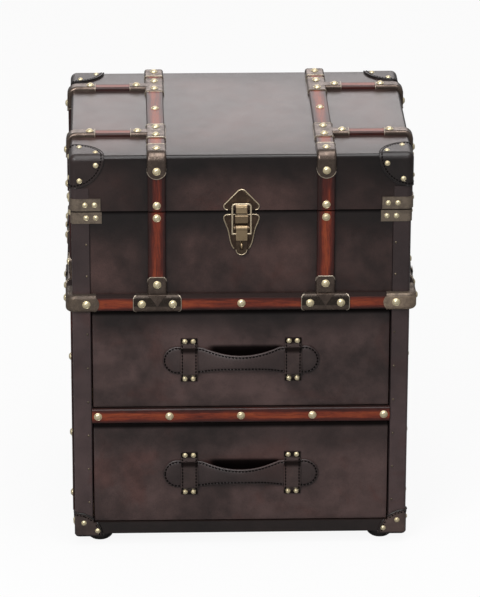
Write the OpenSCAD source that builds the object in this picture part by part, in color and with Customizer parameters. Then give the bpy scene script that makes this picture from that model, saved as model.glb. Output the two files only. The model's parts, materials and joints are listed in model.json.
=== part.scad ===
// Accent chest: a leather-covered trunk with a lift-up lid over two drawers.
// Millimetres, origin on the floor under the middle of the chest, front towards -Y, +Z up.

/* [Body] */
// Width of the chest over its leather
body_w = 456; // [400:1:560]
// Depth of the chest over its leather
body_d = 356; // [320:1:420]
// Thickness of the side, front and lid boards
board_t = 12; // [9:0.5:15]
// Thickness of the back panel and of the trunk floor
panel_t = 9; // [6:0.5:12]
// Thickness of the leather on the boards
leather_t = 1.2; // [0.8:0.1:1.8]
// Thickness of a leather binding or corner patch on the leather
patch_t = 1; // [0.6:0.1:1.4]
// Thickness of the fabric lining
lining_t = 0.8; // [0.5:0.1:1.5]
// Radius of the body's upright edges
body_r = 3; // [2.5:0.1:3.5]

/* [Heights] */
// Height of the feet
foot_h = 17; // [12:1:30]
// Height of the rail below the lower drawer
bottom_rail_h = 17; // [15:1:30]
// Height of the lower drawer's bay
lower_bay_h = 150; // [120:1:180]
// Height of the rail between the drawers
divider_h = 21; // [16:1:30]
// Height of the upper drawer's bay
upper_bay_h = 146; // [120:1:180]
// Height of the middle band
band_h = 22; // [18:1:28]
// Height of the trunk wall from the middle band to the rim
trunk_h = 120; // [90:1:160]
// Height of the lid
lid_h = 78; // [70:1:110]
// Gap between the rim and the closed lid
seam_gap = 0.4; // [0.3:0.1:1]

/* [Lid] */
// How far the lid stands out past the trunk at the front and the sides
lid_overhang = 1.5; // [0.5:0.1:3]
// Radius of the lid's padded edges
lid_r = 7; // [5:0.5:9]
// Radius of a leather corner patch
lid_patch_r = 45; // [35:1:55]

/* [Drawers] */
// Width of a stile beside the drawers
stile_w = 24; // [20:1:32]
// Depth of the face frame's stiles and rails
frame_t = 20; // [14:1:26]
// Gap round a drawer front
front_gap = 1.5; // [1:0.1:3]
// How far a drawer front lies behind the frame's face
front_recess = 0.5; // [0:0.1:2]
// Thickness of the drawer sides and back
side_t = 10; // [8:0.5:12]
// Thickness of the drawer bottom
bottom_t = 4; // [3:0.5:6]
// Gap between the drawer box and the frame at each side
box_gap = 3.5; // [2.5:0.1:6]
// Height of the drawer box above the bay's lower edge
box_lift = 2; // [1.5:0.1:4]
// Room above the drawer box
box_headroom = 30; // [12:1:50]
// Room behind the drawer box
box_back_gap = 8; // [5:1:20]
// Running clearance of the drawer box on its runner
run_gap = 0.3; // [0.2:0.05:0.5]

/* [Wood trim] */
// How far the middle band stands out
band_out = 9; // [6:0.5:12]
// How far the divider band stands out
divider_out = 4; // [3:0.5:7]
// Edge radius of the middle band
band_r = 4; // [2:0.5:5]
// Width of a main slat
slat_w = 24; // [18:1:30]
// Thickness of a main slat
slat_t = 5; // [4:0.5:7]
// Edge radius of a slat
slat_r = 2.5; // [1:0.5:3]
// Distance of the main slats from the middle
slat_x = 114; // [95:1:135]
// Width of a cross slat or a side slat
cross_w = 18; // [14:1:22]
// Distance of the front cross slats behind the front face
cross_front = 86; // [70:1:110]
// Distance of the back cross slats in front of the back face
cross_back = 73; // [60:1:110]

/* [Metal trim] */
// Thickness of the stamped metal brackets
plate_t = 1.2; // [0.8:0.1:1.6]
// Length of a band cap along each side of its corner
cap_len = 40; // [30:1:55]
// Width of a T-bracket's crosspiece on the band
tee_w = 65; // [50:1:80]
// Height of a T-bracket's stem above the band
tee_stem = 26; // [18:1:36]
// Length of a lid T-bracket along its main slat
tee_head = 53; // [40:1:62]
// Reach of a lid T-bracket along its cross slat
tee_reach = 22; // [16:1:30]
// Length of an edge bracket on the lid's top
edge_top = 33; // [24:1:42]
// Length of an edge bracket down the lid's front
edge_down = 31; // [22:1:40]
// Length of a seam plate along each side of its corner
seam_len = 40; // [34:1:50]
// Height of a seam plate
seam_h = 17; // [12:1:22]

/* [Nails] */
// Diameter of a large dome nail
dome_d = 11; // [9:0.5:13]
// Height of a large dome nail
dome_h = 3; // [2:0.25:4]
// Diameter of a small nail
small_d = 7.4; // [6:0.2:8]
// Height of a small nail
small_h = 2; // [1.5:0.25:2.5]
// Diameter of a handle tack
tack_d = 7; // [5:0.2:8]
// Diameter of a binding pin
pin_d = 3.2; // [2.4:0.2:4]
// Height of a binding pin
pin_h = 0.8; // [0.5:0.1:1.2]
// Spacing of the binding pins
pin_step = 50; // [35:1:70]

/* [Leather corners] */
// Radius of a bottom corner cap
foot_cap_r = 36; // [30:1:44]
// How far the middle of that radius lies below the body
foot_cap_drop = 4; // [0:1:8]
// Width of a leather binding on each side of a corner
binding_w = 24; // [18:1:24]

/* [Feet] */
// Diameter of a bun foot
foot_d = 37; // [28:1:44]
// Diameter of the flat under a foot
foot_flat_d = 26; // [18:1:27]
// Distance of a foot's middle from the side
foot_in_x = 33; // [30:1:60]
// Distance of a foot's middle from the front and the back
foot_in_y = 30; // [30:1:60]

/* [Handles] */
// Half the distance between the handle's loops
loop_x = 71; // [60:1:85]
// Width of a leather loop
loop_w = 23; // [18:1:28]
// Height of a leather loop
loop_h = 63; // [60:1:68]
// Thickness of a leather loop
loop_t = 2; // [1.5:0.1:3]
// Length of the handle strap
strap_len = 214; // [205:1:250]
// Thickness of the handle strap
strap_t = 4; // [3:0.5:6]
// Height of the strap's rounded ends
strap_end_h = 38; // [32:1:38]
// Height of the strap at its waist
strap_waist_h = 23; // [18:1:28]
// How far the grip bows out from the drawer
strap_bow = 13; // [8:1:20]
// Gap between the strap and what lies round it
strap_gap = 0.4; // [0.3:0.1:0.8]
// Drop of the handle below the middle of the bay
handle_drop = 2; // [0:1:10]

/* [Latch] */
// Width of the latch plates
latch_w = 49; // [44:1:56]
// Height of the latch base plate
latch_h = 53; // [52:1:60]
// Height of the catch plate on the lid
catch_h = 30; // [26:1:36]
// Thickness of the latch plates
latch_t = 1.5; // [1:0.1:2]
// Distance of the lever's axis from the trunk face
lever_out = 7.5; // [7.5:0.1:8.5]
// Depth of the lever's axis below the base plate's upper edge
lever_drop = 18; // [17:0.5:19]
// Half the width of the lever
lever_half = 7.6; // [7:0.1:8]
// Radius of the lever's rivet
rivet_r = 1.5; // [1.2:0.1:1.8]
// Running clearance of a bore on its pin
bore_gap = 0.06; // [0.03:0.01:0.1]
// Drop of the bail's pivot below the lever's axis
bail_drop = 8.4; // [8:0.1:10]
// Half the width of the bail between its wire centres
bail_half = 12.5; // [12.3:0.1:15]
// Height of the bail between its pivot and its bar
bail_h = 42.5; // [40:0.5:48]
// Radius of the bail's wire
wire_r = 1.2; // [1:0.1:1.4]

/* [Hinges] */
// Distance of a hinge's middle from the side
hinge_in = 78; // [72:1:110]
// Width of a hinge
hinge_w = 50; // [40:1:60]
// Height of one hinge leaf
leaf_h = 25; // [18:1:30]
// Thickness of a hinge leaf
leaf_t = 1.5; // [1:0.1:2]
// Radius of the hinge knuckles
knuckle_r = 3.5; // [3:0.1:4]
// Radius of the hinge pin
hinge_pin_r = 1.6; // [1.2:0.1:2]

/* [Hidden] */
$fn = 48;
eps = 0.01;
// gap between boards that are glued end to end and share a node
joint_gap = 0.1;

// levels
z_body = foot_h;
z_low = z_body + bottom_rail_h;
z_div = z_low + lower_bay_h;
z_up = z_div + divider_h;
z_band = z_up + upper_bay_h;
z_trunk = z_band + band_h;
z_rim = z_trunk + trunk_h;
z_lid = z_rim + seam_gap;
z_top = z_lid + lid_h;

// where the chest lies along Y: the handles reach further out than the lid's back brackets
front_reach = strap_gap + strap_bow + strap_t - front_recess;
back_reach = slat_t + plate_t + dome_h;
y_mid = (front_reach - back_reach) / 2;
y_front = y_mid - body_d / 2;
y_back = y_mid + body_d / 2;

// inside faces
in_x = body_w / 2 - leather_t - board_t;
in_front = y_front + leather_t + board_t;
in_back = y_back - leather_t - panel_t;
bay_x = body_w / 2 - stile_w;
box_x = bay_x - box_gap;
floor_z = z_band + 4;
lid_in_x = body_w / 2 + lid_overhang - leather_t - board_t;

// hinge axis, behind the back face
axis_out = knuckle_r + 0.5;
axis_z = z_rim + seam_gap / 2;
hinge_x = body_w / 2 - hinge_in;

// latch levels, and how far its parts hang below the lever's axis
latch_z = z_rim - 5;
lever_z = latch_z - lever_drop;
bail_z = lever_z - bail_drop;
lever_body_h = 17;
lever_tail_h = 39;
staple_drop = 25.5;
slot_h = 12;

// drawn-in sides of the base plate: half width and depth, as shares of its width and height
plate_sides = [[0.497, 0.12], [0.486, 0.16], [0.463, 0.22], [0.432, 0.29], [0.398, 0.37], [0.37, 0.45],
    [0.35, 0.54], [0.334, 0.63], [0.316, 0.72], [0.292, 0.8], [0.258, 0.88], [0.212, 0.945], [0.16, 0.985],
    [0.11, 1]];

// sizes across the latch
lever_r = 3.7;
block_w = 17;
ear_t = 1.5;
ear_x = lever_half + 0.4 + ear_t / 2;
rivet_head_t = 0.8;

// places of the nails, from the corners, edges and slat middles
cap_nail_in = 18;
tee_nail_x = 21;
slat_end_nail = 9;
seam_nails = [19, 32];
foot_cap_nails = [[11, 17], [30, 5]];
edge_nail_in = 15;
edge_nail_drop = 20;
side_nail_in = 26;
lid_tee_nail_x = 16;
patch_nails = [12, 34];
pin_in = 19;

// sides are numbered 0 front, 1 right, 2 back, 3 left
function face_at(k) = (k % 2 == 0) ? body_d / 2 : body_w / 2;
function lid_over(k) = (k == 2) ? 0 : lid_overhang;
function side_slat_at(k, n) =
    (k == 1 ? 1 : -1) * (n == 0 ? cross_front - body_d / 2 : body_d / 2 - cross_back);

// Shared outlines

module rounded_rect(w, d, r) {
    square([w - 2 * r, d], center = true);
    square([w, d - 2 * r], center = true);
    for (sx = [-1, 1], sy = [-1, 1])
        translate([sx * (w / 2 - r), sy * (d / 2 - r)]) circle(r);
}

// Section of a slat or band: x across it, y out from the leather
module slat_profile(w, t, r) {
    translate([-w / 2, 0]) square([w, t - r]);
    translate([-w / 2 + r, 0]) square([w - 2 * r, t]);
    intersection() {
        for (s = [-1, 1]) translate([s * (w / 2 - r), t - r]) circle(r);
        translate([-w / 2, 0]) square([w, t]);
    }
}

// Section of a stamped bracket that wraps a slat
module channel_profile(w, t, r, p) {
    difference() {
        slat_profile(w + 2 * p, t + p, r + p);
        slat_profile(w, t, r);
    }
}

// Places what is drawn for the front on side k of the body: y = 0 is its leather, -y points outwards
module on_side(k) {
    translate([0, y_mid, 0]) rotate([0, 0, 90 * k]) translate([0, -face_at(k), 0]) children();
}

// The same for the faces of the lid
module on_lid(k) {
    on_side(k) translate([0, -lid_over(k), 0]) children();
}

// Runs a section up a face from z0 to z1
module upright(z0, z1) {
    translate([0, 0, z0]) linear_extrude(z1 - z0) mirror([0, 1]) children();
}

// Runs a section along a face from x0 to x1
module level(x0, x1) {
    translate([x0, 0, 0]) rotate([180, -90, 0]) linear_extrude(x1 - x0) children();
}

// Runs a section over the lid's top, from y0 to y1 behind the face
module over_top(y0, y1) {
    translate([0, y1, z_top]) rotate([90, 0, 0]) linear_extrude(y1 - y0) children();
}

// Bends a section over the lid's rounded edge
module over_edge() {
    translate([0, lid_r, z_top - lid_r]) rotate([90, 0, -90])
        rotate_extrude(angle = 90) translate([lid_r, 0]) rotate(-90) children();
}

// Domed nail head on z = 0
module dome(d, h) {
    ball_r = (d * d / 4 + h * h) / (2 * h);
    intersection() {
        translate([0, 0, h - ball_r]) sphere(ball_r);
        translate([-d, -d, 0]) cube([2 * d, 2 * d, h + 1]);
    }
}

// Nail on a face: u along the face, out from the leather
module face_nail(u, z, out, d, h) {
    translate([u, -out, z]) rotate([90, 0, 0]) dome(d, h);
}

// Leather or metal wrapped round the upright corners, from z0 to z1, between two offsets of the body
module corner_shell(z0, z1, inner, outer, leg) {
    translate([0, y_mid, z0]) linear_extrude(z1 - z0) intersection() {
        difference() {
            rounded_rect(body_w + 2 * outer, body_d + 2 * outer, body_r + outer);
            rounded_rect(body_w + 2 * inner, body_d + 2 * inner, body_r + inner);
        }
        for (sx = [-1, 1], sy = [-1, 1])
            translate([sx * body_w / 2, sy * body_d / 2]) square(2 * leg, center = true);
    }
}

// Cabinet and trunk boards

module cabinet_sides() color("BurlyWood") {
    for (s = [-1, 1])
        translate([s * (in_x + board_t / 2) - board_t / 2, y_front + leather_t, z_body])
            cube([board_t, body_d - 2 * leather_t, z_rim - z_body]);
}

module back_panel() color("BurlyWood")
    translate([-in_x, in_back, z_body]) cube([2 * in_x, panel_t, z_rim - z_body]);

module base_board() color("BurlyWood")
    translate([-in_x, y_front + leather_t + frame_t, z_body])
        cube([2 * in_x, in_back - y_front - leather_t - frame_t, board_t]);

module front_frame() color("BurlyWood") {
    rail_x = bay_x - joint_gap;
    for (s = [-1, 1])
        translate([s * (bay_x + in_x) / 2 - (in_x - bay_x) / 2, y_front + leather_t, z_body])
            cube([in_x - bay_x, frame_t, z_band - z_body]);
    for (z = [[z_body, bottom_rail_h], [z_div, divider_h]])
        translate([-rail_x, y_front + leather_t, z[0]]) cube([2 * rail_x, frame_t, z[1]]);
}

// One bay's pair of runners: a ledge under the drawer side and a guide beside it
module runner_pair(bay_z, base_z) {
    ledge_top = bay_z + box_lift - run_gap;
    ledge_x = box_x - side_t - 2;
    guide_x = box_x + 0.5;
    run_y = y_front + leather_t + frame_t;
    for (s = [0, 1]) mirror([s, 0, 0]) translate([0, in_back, 0]) rotate([90, 0, 0])
        linear_extrude(in_back - run_y) {
            translate([ledge_x, base_z]) square([in_x - ledge_x, ledge_top - base_z]);
            translate([guide_x, base_z]) square([in_x - guide_x, ledge_top - base_z + 20]);
        }
}

module drawer_runners() color("Peru") {
    runner_pair(z_low, z_body + board_t);
    runner_pair(z_up, z_up - 10);
}

module trunk_floor() color("BurlyWood")
    translate([-in_x, in_front, floor_z]) cube([2 * in_x, in_back - in_front, panel_t]);

module trunk_front_wall() color("BurlyWood")
    translate([-in_x, y_front + leather_t, z_band]) cube([2 * in_x, board_t, z_rim - z_band]);

module trunk_lining() color("DimGray") {
    low = floor_z + panel_t;
    difference() {
        translate([-in_x, in_front, low]) cube([2 * in_x, in_back - in_front, z_rim - low]);
        translate([-in_x + lining_t, in_front + lining_t, low + lining_t])
            cube([2 * (in_x - lining_t), in_back - in_front - 2 * lining_t, z_rim]);
    }
}

// Leather

module leather_ring(z0, z1) {
    translate([0, y_mid, z0]) linear_extrude(z1 - z0) difference() {
        rounded_rect(body_w, body_d, body_r);
        square([body_w - 2 * leather_t, body_d - 2 * leather_t], center = true);
    }
}

module cabinet_leather() color([0.2, 0.13, 0.11]) {
    difference() {
        leather_ring(z_body, z_band + band_h / 2);
        for (z = [[z_low, lower_bay_h], [z_up, upper_bay_h]])
            translate([-bay_x, y_front - 1, z[0]]) cube([2 * bay_x, leather_t + 2, z[1]]);
    }
}

module trunk_leather() color([0.2, 0.13, 0.11]) leather_ring(z_band + band_h / 2, z_rim);

module corner_bindings() color([0.16, 0.1, 0.09]) {
    corner_shell(z_body, z_band - plate_t, 0, patch_t, binding_w);
    corner_shell(z_trunk + plate_t, z_rim - seam_h, 0, patch_t, binding_w);
}

// Leather caps on the four bottom corners, with a narrow lip under the body
module bottom_corner_caps() color([0.18, 0.11, 0.1]) {
    lip = foot_in_y - foot_d / 2 - 3;
    difference() {
        intersection() {
            translate([0, y_mid, z_body - patch_t]) linear_extrude(foot_cap_r + patch_t)
                rounded_rect(body_w + 4 * patch_t, body_d + 4 * patch_t, body_r + 2 * patch_t);
            for (sx = [-1, 1], sy = [-1, 1])
                translate([sx * body_w / 2, y_mid + sy * body_d / 2, z_body - foot_cap_drop])
                    sphere(foot_cap_r);
        }
        translate([0, y_mid, z_body]) linear_extrude(foot_cap_r + 1) rounded_rect(body_w, body_d, body_r);
        translate([0, y_mid, z_body - 5]) linear_extrude(10)
            square([body_w - 2 * lip, body_d - 2 * lip], center = true);
        corner_bindings();
        // trimmed where the lower drawer slides past
        translate([-bay_x, -body_d, z_low]) cube([2 * bay_x, body_d, foot_cap_r]);
    }
}

// Wood trim

// The band's path round the two front corners
module band_corner(s) {
    translate([s * (body_w / 2 - body_r), y_mid - body_d / 2 + body_r, z_band + band_h / 2])
        rotate([0, 0, s > 0 ? -90 : 180]) rotate_extrude(angle = 90)
            translate([body_r, 0]) rotate(-90) children();
}

module middle_band() color([0.45, 0.2, 0.12]) {
    on_side(0) translate([0, 0, z_band + band_h / 2])
        level(-body_w / 2 + body_r, body_w / 2 - body_r) slat_profile(band_h, band_out, band_r);
    for (s = [-1, 1]) band_corner(s) slat_profile(band_h, band_out, band_r);
    for (k = [1, 3]) on_side(k) translate([0, 0, z_band + band_h / 2])
        mirror([k == 1 ? 0 : 1, 0, 0]) level(-body_d / 2 + body_r + joint_gap, body_d / 2)
            slat_profile(band_h, band_out, band_r);
}

module divider_band() color([0.45, 0.2, 0.12])
    on_side(0) translate([0, 0, z_div + divider_h / 2])
        level(-bay_x, bay_x) slat_profile(divider_h, divider_out, slat_r);

// Upright slats below the lid: they stand on the band, or end under it
module trunk_slat(w) {
    upright(z_trunk + plate_t, z_rim - 1) slat_profile(w, slat_t, slat_r);
}

module trunk_front_slats() color([0.45, 0.2, 0.12])
    for (s = [-1, 1]) on_side(0) translate([s * slat_x, 0, 0]) trunk_slat(slat_w);

module side_slats() color([0.45, 0.2, 0.12]) {
    for (k = [1, 3], n = [0, 1]) on_side(k) translate([side_slat_at(k, n), 0, 0]) {
        trunk_slat(cross_w);
        upright(z_body + 1, z_band - plate_t) slat_profile(cross_w, slat_t, slat_r);
    }
}

// Metal trim on the body

module band_shell() {
    channel_profile(band_h, band_out, band_r, plate_t);
}

module band_caps() color("DarkKhaki") {
    leg = cap_len - body_r - band_out;
    for (s = [-1, 1]) {
        band_corner(s) band_shell();
        on_side(0) translate([s * (body_w / 2 - body_r - leg / 2), 0, z_band + band_h / 2])
            level(-leg / 2, leg / 2) band_shell();
        on_side(s > 0 ? 1 : 3) translate([-s * (body_d / 2 - body_r - leg / 2), 0, z_band + band_h / 2])
            level(-leg / 2, leg / 2) band_shell();
        on_side(s > 0 ? 1 : 3) translate([s * (body_d / 2 - cap_len / 2), 0, z_band + band_h / 2])
            level(-cap_len / 2, cap_len / 2) band_shell();
    }
}

// T-bracket: a crosspiece over the band and a stem up the slat
module band_tee(w) {
    tip_h = 9;
    intersection() {
        union() {
            translate([0, 0, z_band + band_h / 2]) level(-tee_w / 2, tee_w / 2) band_shell();
            upright(z_trunk, z_trunk + tee_stem) channel_profile(w, slat_t, slat_r, plate_t);
        }
        rotate([90, 0, 0]) linear_extrude(4 * band_out, center = true) {
            translate([0, z_band + band_h / 2]) rounded_rect(tee_w, band_h + 2 * plate_t, 6);
            translate([0, z_trunk + (tee_stem - tip_h) / 2])
                square([w + 2 * plate_t, tee_stem - tip_h], center = true);
            translate([0, z_trunk + tee_stem - tip_h]) intersection() {
                circle(w / 2 + plate_t);
                translate([-w, -1]) square([2 * w, tip_h + 1]);
            }
        }
    }
}

module band_tees() color("DarkKhaki") {
    for (s = [-1, 1]) on_side(0) translate([s * slat_x, 0, 0]) band_tee(slat_w);
    for (k = [1, 3], n = [0, 1]) on_side(k) translate([side_slat_at(k, n), 0, 0]) band_tee(cross_w);
}

module trunk_seam_plates() color("DarkKhaki")
    corner_shell(z_rim - seam_h, z_rim - 1, 0, patch_t + plate_t, seam_len);

// Nails on the body

module base_dome_nails() color("Khaki") {
    mid_z = z_band + band_h / 2;
    cap_out = band_out + plate_t;
    stem_z = z_trunk + tee_stem * 0.6;
    on_side(0) {
        face_nail(0, mid_z, band_out, dome_d, dome_h);
        for (s = [-1, 1]) {
            face_nail(s * (body_w / 2 - cap_nail_in), mid_z, cap_out, dome_d, dome_h);
            for (t = [-1, 1])
                face_nail(s * slat_x + t * tee_nail_x, mid_z, cap_out, dome_d, dome_h);
            face_nail(s * slat_x, stem_z, slat_t + plate_t, dome_d, dome_h);
            face_nail(s * slat_x, z_rim - slat_end_nail, slat_t, dome_d, dome_h);
        }
        for (n = [-2 : 2])
            face_nail(n * (bay_x - 8) / 2, z_div + divider_h / 2, divider_out, dome_d, dome_h);
    }
    for (k = [1, 3]) on_side(k) {
        for (s = [-1, 1]) face_nail(s * (body_d / 2 - cap_nail_in), mid_z, cap_out, dome_d, dome_h);
        for (n = [0, 1], t = [-1, 1])
            face_nail(side_slat_at(k, n) + t * tee_nail_x, mid_z, cap_out, dome_d, dome_h);
        for (n = [0, 1]) {
            face_nail(side_slat_at(k, n), stem_z, slat_t + plate_t, dome_d, dome_h);
            face_nail(side_slat_at(k, n), z_rim - slat_end_nail, slat_t, dome_d, dome_h);
            for (z = [z_body + 25, z_div - 50, z_up + 43])
                face_nail(side_slat_at(k, n), z, slat_t, dome_d, dome_h);
        }
    }
}

module base_small_nails() color("Khaki") {
    seam_z = z_rim - seam_h / 2 - 0.5;
    for (k = [0 : 3], s = [-1, 1]) on_side(k) {
        for (u = seam_nails)
            face_nail(s * (face_at(k + 1) - u), seam_z, patch_t + plate_t, small_d, small_h);
        for (p = foot_cap_nails)
            face_nail(s * (face_at(k + 1) - p[0]), z_body + p[1], 2 * patch_t, small_d, small_h);
    }
}

// Pins along the inner edges of the bindings, on the front and the sides
module binding_pins() color("Khaki") {
    low = z_body + foot_cap_r + 12;
    count = floor((z_band - 12 - low) / pin_step);
    for (k = [0, 1, 3], s = [-1, 1]) on_side(k) {
        for (n = [0 : count])
            face_nail(s * (face_at(k + 1) - pin_in), low + n * pin_step, patch_t, pin_d, pin_h);
        for (z = [z_trunk + trunk_h * 0.22, z_trunk + trunk_h * 0.6])
            face_nail(s * (face_at(k + 1) - pin_in), z, patch_t, pin_d, pin_h);
    }
}

// Feet

module bun_feet() color([0.08, 0.07, 0.07]) {
    bulge = foot_h / 2;
    for (sx = [-1, 1], sy = [-1, 1])
        translate([sx * (body_w / 2 - foot_in_x), y_mid + sy * (body_d / 2 - foot_in_y), 0])
            rotate_extrude() {
                square([foot_flat_d / 2, foot_h]);
                intersection() {
                    translate([foot_d / 2 - bulge, bulge]) circle(bulge);
                    square([foot_d, foot_h]);
                }
                square([foot_d / 2 - bulge, foot_h]);
            }
}

// Hinges, drawn on the back side: z = 0 is their axis level

module hinge_leaf(up) {
    knuckles = 5;
    pitch = hinge_w / knuckles;
    root = knuckle_r + 0.3;
    for (h = [-1, 1]) on_side(2) translate([h * hinge_x, 0, axis_z]) difference() {
        union() {
            translate([-hinge_w / 2, -leaf_t, up > 0 ? root : -leaf_h])
                cube([hinge_w, leaf_t, leaf_h - root]);
            for (n = [0 : knuckles - 1]) if ((n % 2 == 1) == (up > 0))
                translate([-hinge_w / 2 + n * pitch + 0.15, 0, 0]) {
                    translate([0, -leaf_t, up > 0 ? 0 : -root - 1]) cube([pitch - 0.3, leaf_t, root + 1]);
                    translate([0, -axis_out, 0]) rotate([0, 90, 0]) cylinder(h = pitch - 0.3, r = knuckle_r);
                }
        }
        translate([-hinge_w / 2 - 1, -axis_out, 0]) rotate([0, 90, 0])
            cylinder(h = hinge_w + 2, r = hinge_pin_r + (up > 0 ? bore_gap : 0));
    }
}

module trunk_hinge_leaves() color("DarkKhaki") hinge_leaf(-1);

module hinge_pins() color("Khaki")
    for (h = [-1, 1]) on_side(2) translate([h * hinge_x, -axis_out, axis_z]) rotate([0, 90, 0]) {
        cylinder(h = hinge_w, r = hinge_pin_r, center = true);
        for (s = [-1, 1]) translate([0, 0, s * (hinge_w / 2 + 0.6)])
            cylinder(h = 1.2, r = hinge_pin_r + 1, center = true);
    }

// Latch

// Outline of a latch plate: two rounded corners at the wide end and a rounded point
module latch_outline(h, point_r) {
    hull() {
        for (s = [-1, 1]) translate([s * (latch_w / 2 - 5), -5]) circle(5, $fn = 32);
        translate([0, -h + point_r]) circle(point_r, $fn = 32);
    }
}

// Outline of the base plate: the same wide end, with sides that draw in to a blunt end
module base_outline() {
    half = concat(
        [for (a = [90 : -15 : 0]) [latch_w / 2 - 5 + 5 * cos(a), -5 + 5 * sin(a)]],
        [for (p = plate_sides) [p[0] * latch_w, -p[1] * latch_h]]);
    count = len(half);
    polygon(concat(half, [for (i = [count - 1 : -1 : 0]) [-half[i][0], half[i][1]]]));
}

module latch_base_plate() color("DarkKhaki") on_side(0) {
    translate([0, 0, latch_z]) rotate([90, 0, 0]) linear_extrude(latch_t) base_outline();
    // raised housing above the lever
    house_h = lever_drop - lever_r - 2.8;
    house_out = 4.5;
    translate([-block_w / 2, -latch_t + eps, latch_z - 1]) rotate([90, 0, 90]) linear_extrude(block_w)
        polygon([[0, 0], [1 - house_out, 0], [-house_out, -1], [-house_out, 1 - house_h],
            [1 - house_out, -house_h], [0, -house_h]]);
    // ears that carry the rivet
    for (s = [-1, 1]) translate([s * ear_x, 0, lever_z]) rotate([0, 90, 0]) difference() {
        union() {
            translate([0, -lever_out, 0]) cylinder(h = ear_t, r = lever_r, center = true);
            translate([-lever_r, -lever_out, -ear_t / 2])
                cube([2 * lever_r, lever_out - latch_t + eps, ear_t]);
        }
        translate([0, -lever_out, 0]) cylinder(h = 2 * ear_t, r = rivet_r, center = true);
    }
    // staple that passes through the slot in the lever's tail
    leg = lever_out - 3.5;
    staple_r = slot_h / 2 - 2.5;
    wire = 1.1;
    translate([0, -latch_t, lever_z - staple_drop]) rotate([0, 90, 0]) {
        for (s = [-1, 1]) translate([s * staple_r, eps, 0]) rotate([90, 0, 0])
            cylinder(h = leg + 2 * eps, r = wire);
        translate([0, -leg, 0]) rotate([0, 0, 180]) rotate_extrude(angle = 180)
            translate([staple_r, 0]) circle(wire);
    }
}

module latch_rivet() color("Khaki")
on_side(0) translate([0, -lever_out, lever_z]) rotate([0, 90, 0]) {
    half = ear_x + ear_t / 2;
    cylinder(h = 2 * half, r = rivet_r, center = true);
    for (s = [-1, 1]) translate([0, 0, s * (half + rivet_head_t / 2)])
        cylinder(h = rivet_head_t, r = rivet_r + 1, center = true);
}

// Lever drawn about its axis: a thick body and a slotted tail with a round end
module latch_lever() color("DarkKhaki") on_side(0) translate([0, -lever_out, lever_z]) {
    wide = 2 * lever_half;
    difference() {
        union() {
            rotate([0, 90, 0]) cylinder(h = wide, r = lever_r, center = true);
            translate([-lever_half, 0.8 - lever_r, -lever_body_h])
                cube([wide, 2 * lever_r - 0.8, lever_body_h]);
            translate([0, 2.9, 0]) rotate([90, 0, 0]) linear_extrude(1.6) {
                translate([-lever_half, lever_half - lever_tail_h])
                    square([wide, lever_tail_h - lever_body_h - lever_half + 1]);
                translate([0, lever_half - lever_tail_h]) circle(lever_half);
            }
        }
        rotate([0, 90, 0]) cylinder(h = 2 * wide, r = rivet_r + bore_gap, center = true);
        for (s = [-1, 1]) translate([s * lever_half, 0, -bail_drop]) rotate([0, 90, 0])
            cylinder(h = lever_half, r = wire_r + bore_gap, center = true);
        translate([-2.2, -lever_out, -staple_drop - slot_h / 2]) cube([4.4, 2 * lever_out, slot_h]);
    }
}

module latch_bail() color("Khaki") on_side(0) translate([0, -lever_out, bail_z]) {
    bend = 4;
    for (s = [-1, 1]) {
        translate([s * bail_half, 0, 0]) {
            cylinder(h = bail_h - bend, r = wire_r);
            sphere(wire_r);
            rotate([0, -s * 90, 0]) cylinder(h = bail_half - lever_half / 2 - 0.3, r = wire_r);
        }
        translate([s * (bail_half - bend), 0, bail_h - bend]) rotate([90, s > 0 ? 0 : -90, 0])
            rotate_extrude(angle = 90) translate([bend, 0]) circle(wire_r);
    }
    translate([0, 0, bail_h]) rotate([0, 90, 0])
        cylinder(h = 2 * (bail_half - bend), r = wire_r, center = true);
}

module latch_catch_plate() color("DarkKhaki") on_lid(0) {
    translate([0, 0, z_lid + 0.6]) mirror([0, 0, 1]) rotate([90, 0, 0])
        linear_extrude(latch_t) latch_outline(catch_h, 7);
    // tongue that the bail lies in front of
    tongue_out = lever_out - wire_r - lid_overhang - 0.6;
    translate([-block_w / 2, 0, 0]) rotate([90, 0, 90]) linear_extrude(block_w)
        polygon([[-latch_t + eps, z_lid + 9], [-tongue_out + 1, z_lid + 7.5], [-tongue_out, z_lid + 5],
            [-tongue_out, z_lid - 3], [-tongue_out + 1, z_lid - 4], [-latch_t, z_lid - 4],
            [-latch_t, z_lid + 1], [-latch_t + eps, z_lid + 1]]);
}

// Lid boards, leather and lining

// Rounded block of the lid, grown outwards by g
module lid_block(g) {
    r = lid_r + g;
    post_h = z_top - lid_r - z_lid;
    x1 = body_w / 2 + lid_overhang - lid_r;
    ys = [y_front - lid_overhang + lid_r, y_back - lid_r];
    hull() for (s = [-1, 1], y = ys) translate([s * x1, y, z_lid]) rotate_extrude($fn = 32) {
        square([r, post_h]);
        translate([0, post_h]) intersection() {
            circle(r, $fn = 32);
            square(r);
        }
    }
}

module lid_top_board() color("BurlyWood") intersection() {
    lid_block(-leather_t);
    translate([-body_w, -body_d, z_top - leather_t - board_t]) cube([2 * body_w, 2 * body_d, board_t + 1]);
}

module lid_frame_boards() color("BurlyWood") {
    board_h = lid_h - leather_t - board_t;
    front_y = y_front - lid_overhang;
    out_x = lid_in_x + board_t + 1;
    side_y0 = front_y + leather_t + board_t + joint_gap;
    side_y1 = y_back - leather_t - board_t - joint_gap;
    for (y = [front_y, y_back - leather_t - board_t]) intersection() {
        lid_block(-leather_t);
        translate([-out_x, y, z_lid]) cube([2 * out_x, board_t + leather_t, board_h]);
    }
    for (s = [-1, 1]) translate([s * (lid_in_x + board_t / 2) - board_t / 2, side_y0, z_lid])
        cube([board_t, side_y1 - side_y0, board_h]);
}

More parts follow.
